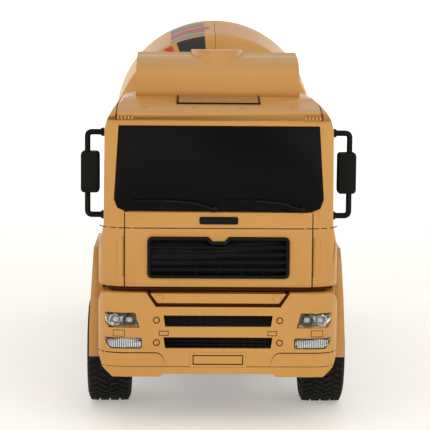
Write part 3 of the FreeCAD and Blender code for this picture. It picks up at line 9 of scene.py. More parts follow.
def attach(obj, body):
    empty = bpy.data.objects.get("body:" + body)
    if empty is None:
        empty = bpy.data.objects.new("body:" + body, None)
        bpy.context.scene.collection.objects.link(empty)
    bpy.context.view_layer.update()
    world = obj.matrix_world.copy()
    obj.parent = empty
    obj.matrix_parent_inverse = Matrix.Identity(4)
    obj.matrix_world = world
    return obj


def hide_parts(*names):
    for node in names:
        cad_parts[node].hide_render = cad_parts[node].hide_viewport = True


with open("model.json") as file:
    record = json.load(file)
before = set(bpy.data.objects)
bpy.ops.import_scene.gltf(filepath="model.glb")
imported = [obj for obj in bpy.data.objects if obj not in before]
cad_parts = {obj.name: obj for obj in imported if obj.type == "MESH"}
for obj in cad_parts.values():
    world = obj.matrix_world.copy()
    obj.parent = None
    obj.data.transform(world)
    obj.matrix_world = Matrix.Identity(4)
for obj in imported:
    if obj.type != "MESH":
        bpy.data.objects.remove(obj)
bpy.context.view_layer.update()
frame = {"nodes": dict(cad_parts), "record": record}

MM = 0.001
EDGE_ROUND, BUMPER_ROUND = 0.35, 0.2
TRUCK = "truck"
DRUM = "drum"


# ---------------------------------------------------------------- materials


def shader(name, colour, roughness, metallic=0.0, coat=0.0, specular=0.5):
    """A material with a Principled shader; the colour is sRGB, from 0 to 255."""
    material = bpy.data.materials.new(name)
    material.use_nodes = True
    principled = material.node_tree.nodes["Principled BSDF"]
    principled.inputs["Base Color"].default_value = linear(colour)
    principled.inputs["Roughness"].default_value = roughness
    principled.inputs["Metallic"].default_value = metallic
    principled.inputs["Specular IOR Level"].default_value = specular
    principled.inputs["Coat Weight"].default_value = coat
    principled.inputs["Coat Roughness"].default_value = 0.15
    return material


def linear(colour):
    """The colour's linear value, with full alpha."""

    def channel(value):
        value = value / 255
        return value / 12.92 if value <= 0.04045 else ((value + 0.055) / 1.055) ** 2.4

    return (*(channel(value) for value in colour), 1.0)


def add_noise(material, scale, detail=3.0, stretch=(1, 1, 1)):
    """A noise texture in the object's own space."""
    tree = material.node_tree
    place = tree.nodes.new("ShaderNodeTexCoord")
    mapping = tree.nodes.new("ShaderNodeMapping")
    mapping.inputs["Scale"].default_value = stretch
    noise = tree.nodes.new("ShaderNodeTexNoise")
    noise.inputs["Scale"].default_value = scale
    noise.inputs["Detail"].default_value = detail
    tree.links.new(place.outputs["Object"], mapping.inputs["Vector"])
    tree.links.new(mapping.outputs["Vector"], noise.inputs["Vector"])
    return noise


def vary_colour(material, first, second, noise):
    """Mottles the base colour between two shades."""
    tree = material.node_tree
    ramp = tree.nodes.new("ShaderNodeValToRGB")
    ramp.color_ramp.elements[0].position = 0.3
    ramp.color_ramp.elements[1].position = 0.7
    ramp.color_ramp.elements[0].color = linear(first)
    ramp.color_ramp.elements[1].color = linear(second)
    tree.links.new(noise.outputs["Fac"], ramp.inputs["Fac"])
    tree.links.new(ramp.outputs["Color"], tree.nodes["Principled BSDF"].inputs["Base Color"])


def vary_roughness(material, low, high, noise):
    tree = material.node_tree
    spread = tree.nodes.new("ShaderNodeMapRange")
    spread.inputs["To Min"].default_value = low
    spread.inputs["To Max"].default_value = high
    tree.links.new(noise.outputs["Fac"], spread.inputs["Value"])
    tree.links.new(spread.outputs["Result"], tree.nodes["Principled BSDF"].inputs["Roughness"])


def add_bump(material, noise, strength, distance):
    tree = material.node_tree
    bump = tree.nodes.new("ShaderNodeBump")
    bump.inputs["Strength"].default_value = strength
    bump.inputs["Distance"].default_value = distance
    tree.links.new(noise.outputs["Fac"], bump.inputs["Height"])
    tree.links.new(bump.outputs["Normal"], tree.nodes["Principled BSDF"].inputs["Normal"])


def moulded(name, colour, darker, roughness, grain=0.12, coat=0.0, specular=0.5):
    """Moulded plastic: a fine satin grain, slightly uneven gloss and faint flow marks."""
    material = shader(name, colour, roughness, coat=coat, specular=specular)
    vary_colour(material, darker, colour, add_noise(material, 16, 4.0))
    vary_roughness(material, roughness - 0.05, roughness + 0.07, add_noise(material, 60, 2.0))
    add_bump(material, add_noise(material, 2200, 2.0), grain, 0.00006)
    return material


def brushed(name, colour, roughness):
    """Turned steel with fine marks round it."""
    material = shader(name, colour, roughness, metallic=1.0)
    marks = add_noise(material, 900, 2.0, (6, 0.3, 0.3))
    vary_roughness(material, roughness - 0.08, roughness + 0.1, marks)
    add_bump(material, marks, 0.15, 0.00005)
    return material


def rubber(name, colour, dusty):
    material = shader(name, colour, 0.75, specular=0.15)
    vary_colour(material, colour, dusty, add_noise(material, 70, 5.0))
    vary_roughness(material, 0.62, 0.85, add_noise(material, 200, 3.0))
    add_bump(material, add_noise(material, 1500, 3.0), 0.35, 0.00015)
    return material


def clear_lens(name):
    """Clear plastic with a faint ripple."""
    material = shader(name, (250, 250, 250), 0.04)
    principled = material.node_tree.nodes["Principled BSDF"]
    principled.inputs["Transmission Weight"].default_value = 1.0
    principled.inputs["IOR"].default_value = 1.3
    add_bump(material, add_noise(material, 500, 2.0), 0.15, 0.0001)
    return material


def chromed(name, colour, roughness=0.12):
    material = shader(name, colour, roughness, metallic=1.0)
    vary_roughness(material, roughness - 0.06, roughness + 0.08, add_noise(material, 120, 2.0))
    add_bump(material, add_noise(material, 500, 2.0), 0.12, 0.0001)
    return material


YELLOW = moulded("yellow_plastic_look", (192, 139, 66), (186, 132, 60), 0.36, coat=0.1, specular=0.4)
DRUM_YELLOW = moulded("drum_yellow_look", (194, 141, 68), (188, 134, 62), 0.36, coat=0.1, specular=0.4)
# Dark brown for the joints and grooves, also used as painted shade in the gap above the bumper and behind
# the step bar.
SEAM_AND_SHADE = moulded("seam_shadow_look", (74, 38, 20), (62, 30, 16), 0.7, specular=0.1)
# Painted shade: a darker yellow-brown for the backs of the cab's vent pockets, standing in for the shade in
# these recesses.
POCKET_SHADE = moulded("pocket_shade_look", (142, 88, 38), (132, 80, 32), 0.5)
BLACK = moulded("black_plastic_look", (10, 10, 10), (7, 7, 7), 0.45, specular=0.12)
FRAME_BLACK = moulded("frame_black_look", (16, 16, 16), (12, 12, 12), 0.5, specular=0.15)
GREY = moulded("grey_plastic_look", (96, 97, 99), (86, 87, 89), 0.45)
NYLON = moulded("nylon_look", (222, 218, 205), (212, 207, 193), 0.4)
BLUE = moulded("sleeve_look", (38, 72, 130), (32, 62, 116), 0.3)
GLAZING = moulded("glazing_look", (9, 9, 9), (7, 7, 7), 0.3, grain=0.02, specular=0.06)
RED_LENS = moulded("red_lens_look", (150, 16, 14), (130, 10, 10), 0.2, coat=0.6)
PRINT_BLACK = moulded("print_black_look", (24, 22, 20), (17, 16, 15), 0.4)
PRINT_RED = moulded("print_red_look", (196, 40, 44), (184, 32, 38), 0.4)
PRINT_GREY = moulded("print_grey_look", (112, 114, 118), (102, 104, 108), 0.4)
TYRE = rubber("tyre_look", (20, 20, 18), (30, 29, 26))
STEEL = brushed("steel_look", (165, 166, 168), 0.32)
LENS = clear_lens("clear_lens_look")
CHROME = chromed("chrome_look", (196, 197, 200))
DARK_CHROME = chromed("dark_bowl_look", (96, 94, 84), 0.25)

LOOKS = {
    "yellow_plastic": YELLOW,
    "black_plastic": BLACK,
    "dark_glazing": GLAZING,
    "clear_lens": LENS,
    "chromed_plastic": CHROME,
    "tyre_rubber": TYRE,
    "rim_plastic": YELLOW,
    "steel": STEEL,
    "grey_plastic": GREY,
    "battery_sleeve": BLUE,
    "gear_plastic": NYLON,
    "red_lens": RED_LENS,
}


def dress_cad_nodes():
    """Gives every CAD node its slot's look and softly rounded, smoothly shaded edges."""
    for row in frame["record"]["subparts"]:
        piece = frame["nodes"][row["node"]]
        piece.data.materials.clear()
        piece.data.materials.append(LOOKS[row["material_slot"]])
        soften(piece, (BUMPER_ROUND if row["node"] == "bumper" else EDGE_ROUND) * MM)


def soften(piece, width, segments=2, angle=30):
    """Rounds a hard-edged mesh's edges by a bevel and shades the rest smoothly."""
    weld = piece.modifiers.new("weld", "WELD")
    weld.merge_threshold = 1e-6
    bevel = piece.modifiers.new("bevel", "BEVEL")
    bevel.width = width
    bevel.segments = segments
    bevel.limit_method = "ANGLE"
    bevel.angle_limit = math.radians(angle)
    bevel.use_clamp_overlap = False
    bevel.harden_normals = True
    for polygon in piece.data.polygons:
        polygon.use_smooth = True
    return piece


# ---------------------------------------------------------------- mesh helpers


def made(name, body, look, vertices, faces, smooth=True):
    """A mesh piece from points in millimetres, riding on a body."""
    mesh = bpy.data.meshes.new(name)
    mesh.from_pydata([Vector(point) * MM for point in vertices], [], faces)
    mesh.update()
    return placed(name, body, look, mesh, smooth)


def placed(name, body, look, mesh, smooth=True):
    tidy = bmesh.new()
    tidy.from_mesh(mesh)
    bmesh.ops.remove_doubles(tidy, verts=tidy.verts, dist=1e-7)
    bmesh.ops.recalc_face_normals(tidy, faces=tidy.faces)
    tidy.to_mesh(mesh)
    tidy.free()
    for polygon in mesh.polygons:
        polygon.use_smooth = smooth
    piece = bpy.data.objects.new(name, mesh)
    bpy.context.scene.collection.objects.link(piece)
    mesh.materials.append(look)
    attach(piece, body)
    return piece


def joined(name, body, look, parts):
    """One piece from several (vertices, faces) shells."""
    vertices, faces = [], []
    for points, sides in parts:
        start = len(vertices)
        vertices += points
        faces += [[index + start for index in side] for side in sides]
    return made(name, body, look, vertices, faces)


def prism(outline, front, back, plane="XZ"):
    """A closed slab of an outline, between two stations of the third axis."""
    order = {
        "XZ": lambda u,
        v,
        w: (u, w, v),
        "XY": lambda u,
        v,
        w: (u, v, w),
        "YZ": lambda u,
        v,
        w: (w, u, v),
    }
    at = order[plane]
    count = len(outline)
    vertices = [at(u, v, front) for u, v in outline] + [at(u, v, back) for u, v in outline]
    faces = [list(range(count)), list(range(2 * count - 1, count - 1, -1))]
    faces += [[i, (i + 1) % count, count + (i + 1) % count, count + i] for i in range(count)]
    return vertices, faces


def rounded_outline(corners, radius, steps=5):
    """A closed outline with every corner turned into an arc; radius may be one for each corner."""
    count = len(corners)
    radii = radius if isinstance(radius, (list, tuple)) else [radius] * count
    outline = []
    for index in range(count):
        corner = Vector(corners[index])
        before = (Vector(corners[index - 1]) - corner).normalized()
        after = (Vector(corners[(index + 1) % count]) - corner).normalized()
        reach = radii[index]
        if reach < 1e-6:
            outline.append(tuple(corner))
            continue
        start, end = corner + before * reach, corner + after * reach
        for step in range(steps + 1):
            t = step / steps
            point = start * (1 - t) ** 2 + corner * 2 * t * (1 - t) + end * t**2
            outline.append(tuple(point))
    return outline


def rectangle(x0, x1, z0, z1):
    return [(x0, z0), (x1, z0), (x1, z1), (x0, z1)]


def mirror_outline(outline):
    return [(-x, z) for x, z in reversed(outline)]


def cuboid(x, y, z):
    return prism(rectangle(x[0], x[1], z[0], z[1]), y[0], y[1])


def lathe(profile, steps=96, axis="X", centre=(0, 0, 0), start=0.0, sweep=360.0):
    """A turned shell from (station, radius) points about an axis through the centre."""
    whole = abs(sweep - 360) < 1e-6
    rings = steps if whole else steps + 1
    vertices, faces = [], []
    for ring in range(rings):
        angle = math.radians(start + sweep * ring / steps)
        c, s = math.cos(angle), math.sin(angle)
        for station, radius in profile:
            if axis == "X":
                point = (station, radius * c, radius * s)
            elif axis == "Y":
                point = (radius * c, station, radius * s)
            else:
                point = (radius * c, radius * s, station)
            vertices.append(tuple(a + b for a, b in zip(point, centre)))
    count = len(profile)
    for ring in range(steps):
        following = (ring + 1) % rings
        for index in range(count - 1):
            faces.append(
                [
                    ring * count + index,
                    ring * count + index + 1,
                    following * count + index + 1,
                    following * count + index,
                ],
            )
    return vertices, faces


def tube(name, body, look, points, radius, resolution=6):
    """A round bar along straight runs through the given points, as a curve with a bevel."""
    curve = bpy.data.curves.new(name, "CURVE")
    curve.dimensions = "3D"
    curve.bevel_depth = radius * MM
    curve.bevel_resolution = resolution
    curve.use_fill_caps = True
    spline = curve.splines.new("POLY")
    spline.points.add(len(points) - 1)
    for spot, point in zip(spline.points, points):
        spot.co = (*(Vector(point) * MM), 1.0)
    piece = bpy.data.objects.new(name, curve)
    bpy.context.scene.collection.objects.link(piece)
    curve.materials.append(look)
    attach(piece, body)
    return piece


def bent(points, radius, steps=6):
    """The points of a polyline with its inner corners rounded."""
    path = [Vector(points[0])]
    for before, corner, after in zip(points, points[1:], points[2:]):
        before, corner, after = Vector(before), Vector(corner), Vector(after)
        start = corner + (before - corner).normalized() * radius
        end = corner + (after - corner).normalized() * radius
        for step in range(steps + 1):
            t = step / steps
            path.append(start * (1 - t) ** 2 + corner * 2 * t * (1 - t) + end * t**2)
    path.append(Vector(points[-1]))
    return path


# ---------------------------------------------------------------- wheels

TYRE_RADIUS = 30
BEAD_RADIUS = 19.5
AXLE_Z = 30


def tyre_mesh(name, width):
    """A tyre centred on the origin: a turned carcass with grooved sidewalls and tread blocks."""
    half = width / 2
    crown = TYRE_RADIUS - 1.0
    side = [
        (half - 1.2, BEAD_RADIUS),
        (half - 0.3, BEAD_RADIUS + 0.6),
        (half - 0.2, BEAD_RADIUS + 2.2),
        (half - 0.7, BEAD_RADIUS + 2.6),
        (half - 0.7, BEAD_RADIUS + 3.2),
        (half - 0.05, BEAD_RADIUS + 3.8),
        (half, crown - 4.2),
        (half - 0.4, crown - 3.9),
        (half - 0.4, crown - 3.4),
        (half - 0.1, crown - 3.0),
        (half - 0.7, crown - 1.0),
        (half - 1.9, crown),
    ]
    profile = [(-x, radius) for x, radius in side] + [(x, radius) for x, radius in reversed(side)]
    profile.append(profile[0])
    shells = [lathe(profile, 96)]
    rows = 46
    columns = 4 if width > 20 else 3
    pitch = (width - 1.6) / columns
    for row in range(rows):
        for column in range(columns):
            middle = -half + 0.8 + pitch * (column + 0.5)
            lean = 1 if column % 2 else -1
            turn = (row + (0.5 if column % 2 else 0)) * 2 * math.pi / rows
            shells.append(tread_block(middle, pitch * 0.43, turn, lean, crown, half))
    vertices, faces = [], []
    for points, sides in shells:
        start = len(vertices)
        vertices += points
        faces += [[index + start for index in loop] for loop in sides]
    mesh = bpy.data.meshes.new(name)
    mesh.from_pydata([Vector(point) * MM for point in vertices], [], faces)
    return mesh


def tread_block(middle, reach, turn, lean, crown, half):
    """One slanted block of the tread, its top a little smaller than its foot."""
    depth, skew = 1.28, 1.1 * lean
    points = []
    for radius, shrink in ((crown - 0.3, 1.0), (TYRE_RADIUS - 0.02, 0.86)):
        for across, around in ((-1, -1), (1, -1), (1, 1), (-1, 1)):
            x = middle + across * reach * shrink
            slope = max(0.0, abs(x) - (half - 2.4)) * 0.35
            arc = (around * depth * shrink + across * skew) / TYRE_RADIUS
            level = radius - slope
            points.append((x, level * math.cos(turn + arc), level * math.sin(turn + arc)))
    sides = [[0, 1, 2, 3], [7, 6, 5, 4], [0, 4, 5, 1], [1, 5, 6, 2], [2, 6, 7, 3], [3, 7, 4, 0]]
    return points, sides


def tyre(name, mesh, x, y, body):
    copy = mesh.copy()
    copy.transform(Matrix.Translation(Vector((x, y, AXLE_Z)) * MM))
    return placed(name, body, TYRE, copy, smooth=True)


def sharpen(piece, width=0.25 * MM, angle=28):
    """A small bevel on the piece's own hard edges."""
    bevel = piece.modifiers.new("edges", "BEVEL")
    bevel.width = width
    bevel.segments = 2
    bevel.limit_method = "ANGLE"
    bevel.angle_limit = math.radians(angle)
    bevel.harden_normals = True
    return piece


def wheels():
    front = tyre_mesh("front_tyre_mesh", 24)
    rear = tyre_mesh("rear_tyre_mesh", 17)
    front_y = -130
    for side, x in (("left", 59.5), ("right", -59.5)):
        body = "front_wheel_" + side
        piece = tyre("tyre_front_" + side, front, x, front_y, body)
        shade_hard(piece)
        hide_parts("front_tyre_" + side)
        wheel_nuts("nuts_front_" + side, body, math.copysign(62.2, x), front_y, 10.2)
        hub_cap("hub_front_" + side, body, math.copysign(67.4, x), front_y)
    for number, (body, y) in enumerate((("middle_wheels", 55), ("rear_wheels", 123)), start=1):
        for index, x in enumerate((43, 61, -43, -61)):
            piece = tyre("tyre_axle_%d_%d" % (number, index), rear, x, y, body)
            shade_hard(piece)
            if index == 0:
                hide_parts("rear_tyres_%d" % number)
        for side, x in (("left", 56), ("right", -56)):
            wheel_nuts("nuts_axle_%d_%s" % (number, side), body, x, y, 9.6)
            hub_cap("hub_axle_%d_%s" % (number, side), body, math.copysign(63.4, x), y)


def shade_hard(piece):
    """Smooth shading that still breaks at the tread blocks' edges."""
    split = piece.modifiers.new("edges", "EDGE_SPLIT")
    split.split_angle = math.radians(38)
    return piece


def wheel_nuts(name, body, x, y, radius):
    """A ring of eight hexagonal nuts on the rim's web."""
    out = math.copysign(1, x)
    parts = []
    for index in range(8):
        angle = math.radians(22.5 + 45 * index)
        centre = (0, y + radius * math.cos(angle), AXLE_Z + radius * math.sin(angle))
        profile = [
            (x - out * 0.6, 0.0),
            (x - out * 0.6, 1.15),
            (x + out * 1.0, 1.15),
            (x + out * 1.35, 0.8),
            (x + out * 1.35, 0.0),
        ]
        parts.append(lathe(profile, 6, "X", centre))
    shade_hard(joined(name, body, STEEL, parts))


def hub_cap(name, body, x, y):
    """A stepped cap over the axle's end."""
    out = math.copysign(1, x)
    profile = [
        (x, 6.0),
        (x + out * 0.9, 6.0),
        (x + out * 1.3, 5.4),
        (x + out * 1.3, 3.8),
        (x + out * 1.9, 3.5),
        (x + out * 1.9, 2.2),
    ]
    piece = joined(name, body, YELLOW, [lathe(profile, 40, "X", (0, y, AXLE_Z))])
    shade_hard(piece)


# ---------------------------------------------------------------- drum

DRUM_TILT = math.radians(9)
DRUM_CENTRE = Vector((0, -25, 149.2))
DRUM_RADIUS = 60.48


def drum_profile():
    """The drum's outside, as (station, radius) points from the nose to the mouth."""
    points = [(-45, 0), (-45, 21), (-44.6, 22.2)]
    for step in range(1, 13):
        t = step / 12
        points.append((-44.6 + 19.6 * t, 22.2 + (DRUM_RADIUS - 22.2) * (1 - (1 - t) ** 1.45)))
    points += [
        (-20, DRUM_RADIUS),
        (-10, DRUM_RADIUS),
        (0, DRUM_RADIUS),
        (10, DRUM_RADIUS),
        (22, DRUM_RADIUS),
        (26, DRUM_RADIUS - 0.15),
    ]
    cone = (DRUM_RADIUS - 0.8 - 26) / 93
    for station in range(29, 122, 6):
        points.append((station, DRUM_RADIUS - 0.8 - (station - 29) * cone))
    points += [(121.8, 26), (122, 28), (127.4, 28), (128, 27.4), (128, 24.6), (127.6, 24), (122, 24)]
    return points


def drum_radius_at(station):
    points = drum_profile()
    for (a, low), (b, high) in zip(points, points[1:]):
        if a <= station <= b and b > a:
            return low + (high - low) * (station - a) / (b - a)
    return DRUM_RADIUS


def tilted(mesh):
    """Moves a mesh drawn along Y about the origin onto the drum's axis."""
    turn = Matrix.Rotation(DRUM_TILT, 4, "X")
    mesh.transform(Matrix.Translation(DRUM_CENTRE * MM) @ turn)


def on_drum(name, look, parts, smooth=True):
    vertices, faces = [], []
    for points, sides in parts:
        start = len(vertices)
        vertices += points
        faces += [[index + start for index in side] for side in sides]
    mesh = bpy.data.meshes.new(name)
    mesh.from_pydata([Vector(point) * MM for point in vertices], [], faces)
    tilted(mesh)
    return placed(name, DRUM, look, mesh, smooth)


def drum_half(name, node, start, sweep):
    """One moulded half of the drum, with an inner skin and a small gap at the seam."""
    outer = drum_profile()
    inner = [(station, max(radius - 1.9, 0)) for station, radius in outer[2:-6]]
    inner = [(station + (1.9 if station < -30 else 0), radius) for station, radius in inner]
    profile = outer + list(reversed(inner))
    gap = 0.12
    piece = on_drum(
        name,
        DRUM_YELLOW,
        [lathe(profile, 96, "Y", (0, 0, 0), start + gap, sweep - 2 * gap)],
    )
    shade_hard(piece)
    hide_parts(node)
    return piece


def drum_patch(name, look, stations, angles, lift=0.12):
    """A printed patch that follows the drum's surface; angle 90 is the drum's top."""
    (s0, s1), (a0, a1) = stations, angles
    rows, columns = 14, 20
    vertices, faces = [], []
    for row in range(rows + 1):
        station = s0 + (s1 - s0) * row / rows
        radius = drum_radius_at(station) + lift
        for column in range(columns + 1):
            angle = math.radians(a0 + (a1 - a0) * column / columns)
            vertices.append((radius * math.cos(angle), station, radius * math.sin(angle)))
    width = columns + 1
    for row in range(rows):
        for column in range(columns):
            corner = row * width + column
            faces.append([corner, corner + 1, corner + width + 1, corner + width])
    return on_drum(name, look, [(vertices, faces)])


def drum():
    drum_half("drum_half_left", "drum_shell_left", -90, 180)
    drum_half("drum_half_right", "drum_shell_right", 90, 180)
    seam = [(station, radius - 0.5) for station, radius in drum_profile()[1:-6]]
    for index, start in enumerate((89.8, 269.8)):
        seal = on_drum(
            "drum_seam_%d" % index,
            SEAM_AND_SHADE,
            [lathe(seam, 2, "Y", (0, 0, 0), start, 0.4)],
        )
        shade_hard(seal)
    for side, mirror in (("right", 1), ("left", -1)):
        for number, (look, stations, angles) in enumerate(DRUM_PRINTS):
            a0, a1 = angles
            if mirror < 0:
                a0, a1 = a0 + 180, a1 + 180
            drum_patch("drum_print_%s_%d" % (side, number), look, stations, (a0, a1))


# Printed bands on the drum: look, stations along the axis, angles from the drum's left side.
DRUM_PRINTS = [
    (PRINT_BLACK, (-42, -25.5), (96, 112.5)),
    (PRINT_RED, (-42, -26.0), (115.5, 120.5)),
    (PRINT_GREY, (-22, -15.5), (96, 116)),
    (PRINT_GREY, (-11, -6), (96, 116)),
    (PRINT_RED, (-4, 3), (93, 116)),
    (PRINT_GREY, (7, 19), (96, 116)),
]


# ---------------------------------------------------------------- roof deflector


def roof_deflector():
    """A bulged wind deflector with a scooped notch in the middle of its top edge."""
    half, low, high, front, back = 45, 174, 196.5, -146, -106
    columns, rows = 180, 110

    def profile(t):
        """(y, z) along the outer skin, from the front foot over the crown to the back edge."""
        angle = math.radians(-14 + 104 * min(1.0, t * 1.15))
        depth = front + 33 - 34.6 * math.cos(angle)
        height = low + 2.8 + 18.2 * math.sin(angle)
        if t > 0.87:
            share = (t - 0.87) / 0.13
            depth = depth + share * 7.5
            height = height + 1.5 * share
        return depth, height

    vertices, faces = [], []
    for row in range(rows + 2):
        t = min(1.0, row / rows)
        for column in range(columns + 1):
            x = -half + 2 * half * column / columns
            start = scoop_start(x)
            depth, height = profile(t)
            if t > start:
                foot_depth, foot_height = profile(start)
                share = (t - start) / (1 - start)
                depth = foot_depth + 0.3 * (depth - foot_depth)
                height = foot_height + (high + 1.6 - foot_height) * share
            if row > rows:
                depth = profile(1.0)[0]
            vertices.append((x, depth, height))
    width = columns + 1
    for row in range(rows + 1):
        for column in range(columns):
            corner = row * width + column
            faces.append([corner, corner + 1, corner + width + 1, corner + width])
    skin = made("deflector_skin", TRUCK, YELLOW, vertices, faces)
    thick = skin.modifiers.new("wall", "SOLIDIFY")
    thick.thickness = 1.4 * MM
    thick.offset = -1
    split = skin.modifiers.new("edges", "EDGE_SPLIT")
    split.split_angle = math.radians(32)
    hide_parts("roof_deflector")
    edge = [profile(row / rows) for row in range(rows + 1)]
    fin = [
        (depth + 0.5, height - 0.35)
        for depth, height in edge
    ] + [(back - 0.2, high - 1.0), (back - 0.2, low)]
    fin.append((edge[0][0] + 0.5, low))
    for side, x in (("left", half - 0.9), ("right", -half + 0.9)):
        piece = joined(
            "deflector_fin_" + side,
            TRUCK,
            YELLOW,
            [prism(fin, x - 0.75, x + 0.75, "YZ")],
        )
        sharpen(piece)
    for index, x in enumerate((-24, 24)):
        rib = [(front + 6, low - 0.2), (back, low - 0.2), (back, low + 12), (front + 14, low + 10)]
        piece = joined(
            "deflector_rib_%d" % index,
            TRUCK,
            YELLOW,
            [prism(rib, x - 0.8, x + 0.8, "YZ")],
        )
        sharpen(piece)


def scoop_start(x):
    """How far up the deflector's skin the raised scoop starts, at a place across it."""
    reach, depth = 14.6, 0.5
    if abs(x) >= reach:
        return 1.0
    return 1 - depth * (1 - (x / reach) ** 2) ** 0.75
# ---------------------------------------------------------------- cab and bumper trim

CAB_HALF, CAB_FACE, BUMPER_FACE = 63.8, -197.0, -199.7
CAB_CORNER = [(45.8, 0.0), (53.3, 1.2), (58.8, 4.0), (62.3, 8.0), (63.8, 13.0)]
BUMPER_CORNER = [(49.8, 0.0), (55.3, 0.8), (59.8, 3.0), (62.6, 6.5), (63.8, 11.0)]


def face_y(x, face, corner):
    """The station of a front face at a place across the truck, rounded back at its corners."""
    reach = min(abs(x), corner[-1][0])
    if reach <= corner[0][0]:
        return face
    for (a, low), (b, high) in zip(corner, corner[1:]):
        if reach <= b:
            return face + low + (high - low) * (reach - a) / (b - a)
    return face + corner[-1][1]


def cab_y(x):
    return face_y(x, CAB_FACE, CAB_CORNER)


def bumper_y(x):
    return face_y(x, BUMPER_FACE, BUMPER_CORNER)


def strip(line, height, face, lift=0.05, depth=0.5):
    """A thin band that lies on a rounded front face along a line of (x, z) points."""
    vertices, faces = [], []
    for x, z in line:
        y = face(x)
        for out, level in (
            (-lift, z - height / 2),
            (-lift, z + height / 2),
            (depth, z + height / 2),
            (depth, z - height / 2),
        ):
            vertices.append((x, y + out, level))
    for index in range(len(line) - 1):
        a, b = 4 * index, 4 * index + 4
        for side in range(4):
            faces.append([a + side, a + (side + 1) % 4, b + (side + 1) % 4, b + side])
    end = 4 * (len(line) - 1)
    return vertices, faces + [[3, 2, 1, 0], [end, end + 1, end + 2, end + 3]]


def level_line(x0, x1, z, steps=24):
    return [(x0 + (x1 - x0) * step / steps, z) for step in range(steps + 1)]


def upright(x, z0, z1, width, face, lift=0.06, depth=0.5):
    y = face(x)
    return cuboid((x - width / 2, x + width / 2), (y - lift, y + depth), (z0, z1))


def frame_of(x0, x1, z0, z1, thick, y0, y1):
    """Four bars round a rectangle."""
    return [
        cuboid((x0, x1), (y0, y1), (z0, z0 + thick)),
        cuboid((x0, x1), (y0, y1), (z1 - thick, z1)),
        cuboid((x0, x0 + thick), (y0, y1), (z0 + thick, z1 - thick)),
        cuboid((x1 - thick, x1), (y0, y1), (z0 + thick, z1 - thick)),
    ]


def both(part_of):
    """The same parts on the left and on the right."""
    return part_of(1) + part_of(-1)


def cab_seams():
    """The dark joints between the cab's mouldings, a dark strip of painted shade in the gap above the
    bumper and darker plates of painted shade in the vent pockets.
    """
    parts = [strip(level_line(-CAB_HALF + 0.2, CAB_HALF - 0.2, 106.9, 60), 0.5, cab_y)]
    parts += both(lambda side: [upright(side * 49.7, 75.8, 106.6, 0.6, cab_y)])
    parts += both(lambda side: [upright(side * 49.7, 107.2, 114.8, 0.5, cab_y)])
    joined("cab_seam_lines", TRUCK, SEAM_AND_SHADE, parts)
    # A dark strip set back in the gap between cab and bumper: painted shade in the gap.
    gap = [strip(level_line(-57.5, 57.5, 74.2, 60), 2.4, lambda x: cab_y(x) + 2.2, 0.0, 1.0)]
    joined("cab_bumper_gap_shade", TRUCK, SEAM_AND_SHADE, gap)
    # Darker plates at the back of the vent pockets: painted shade in the recesses.
    pockets = both(
        lambda side: [cuboid(sorted((side * 50.1, side * 53.8)), (-195.6, -195.1), (81.2, 101.8))],
    )
    joined("vent_pocket_shade", TRUCK, POCKET_SHADE, pockets)
    brow = [strip(level_line(-57, 57, 163.25, 40), 0.5, lambda x: visor_y(x), 0.15)]
    joined("visor_line", TRUCK, SEAM_AND_SHADE, brow)


def visor_y(x):
    """The visor's front edge."""
    return -187.9 + max(0.0, abs(x) - 45) * 0.12


def badge():
    """A plain dark bar over the grille, with nothing on it."""
    bar = prism(rounded_outline(rectangle(-10.2, 10.2, 109.1, 113.1), 1.2), -197.7, -196.9)
    sharpen(joined("badge_bar", TRUCK, BLACK, [bar]), 0.2 * MM)


def grille_detail():
    """The rim, slats and upright webs of the grille."""
    w, low, high = 37.3, 80.4, 102.1
    outer = rounded_outline(
        [
            (-w, low),
            (w, low),
            (w, high),
            (5.6, high),
            (3.4, high - 2.3),
            (-3.4, high - 2.3),
            (-5.6, high),
            (-w, high),
        ],
        [2.2, 2.2, 2.2, 0.8, 0.8, 0.8, 0.8, 2.2],
    )
    inner = rounded_outline(
        [
            (-w + 1.5, low + 1.5),
            (w - 1.5, low + 1.5),
            (w - 1.5, high - 1.5),
            (6.2, high - 1.5),
            (4, high - 3.8),
            (-4, high - 3.8),
            (-6.2, high - 1.5),
            (-w + 1.5, high - 1.5),
        ],
        [1.4, 1.4, 1.4, 0.8, 0.8, 0.8, 0.8, 1.4],
    )
    rim = ring_of(outer, inner, -198.0, -196.2)
    piece = joined("grille_rim", TRUCK, BLACK, [rim])
    sharpen(piece, 0.2 * MM)
    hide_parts("grille")
    back = prism(outer, -195.6, -193.2)
    joined("grille_back", TRUCK, FRAME_BLACK, [back])
    slats = []
    for z in (84.4, 88.4, 92.4, 96.4):
        slat = [(-196.6, z + 1.7), (-197.6, z + 0.4), (-197.6, z - 0.2), (-195.4, z + 1.2)]
        slats.append(prism(slat, -35.9, 35.9, "YZ"))
    for x in (-24, -12, 0, 12, 24):
        slats.append(cuboid((x - 0.35, x + 0.35), (-195.9, -195.2), (low + 1.5, high - 4)))
    sharpen(joined("grille_slats", TRUCK, BLACK, slats), 0.12 * MM)


def ring_of(outer, inner, front, back):
    """A closed frame between two outlines with the same number of points."""
    count = len(outer)
    vertices = []
    for outline, y in ((outer, front), (inner, front), (inner, back), (outer, back)):
        vertices += [(x, y, z) for x, z in outline]
    faces = []
    for band in range(4):
        a, b = band * count, ((band + 1) % 4) * count
        for index in range(count):
            following = (index + 1) % count
            faces.append([a + index, a + following, b + following, b + index])
    return vertices, faces


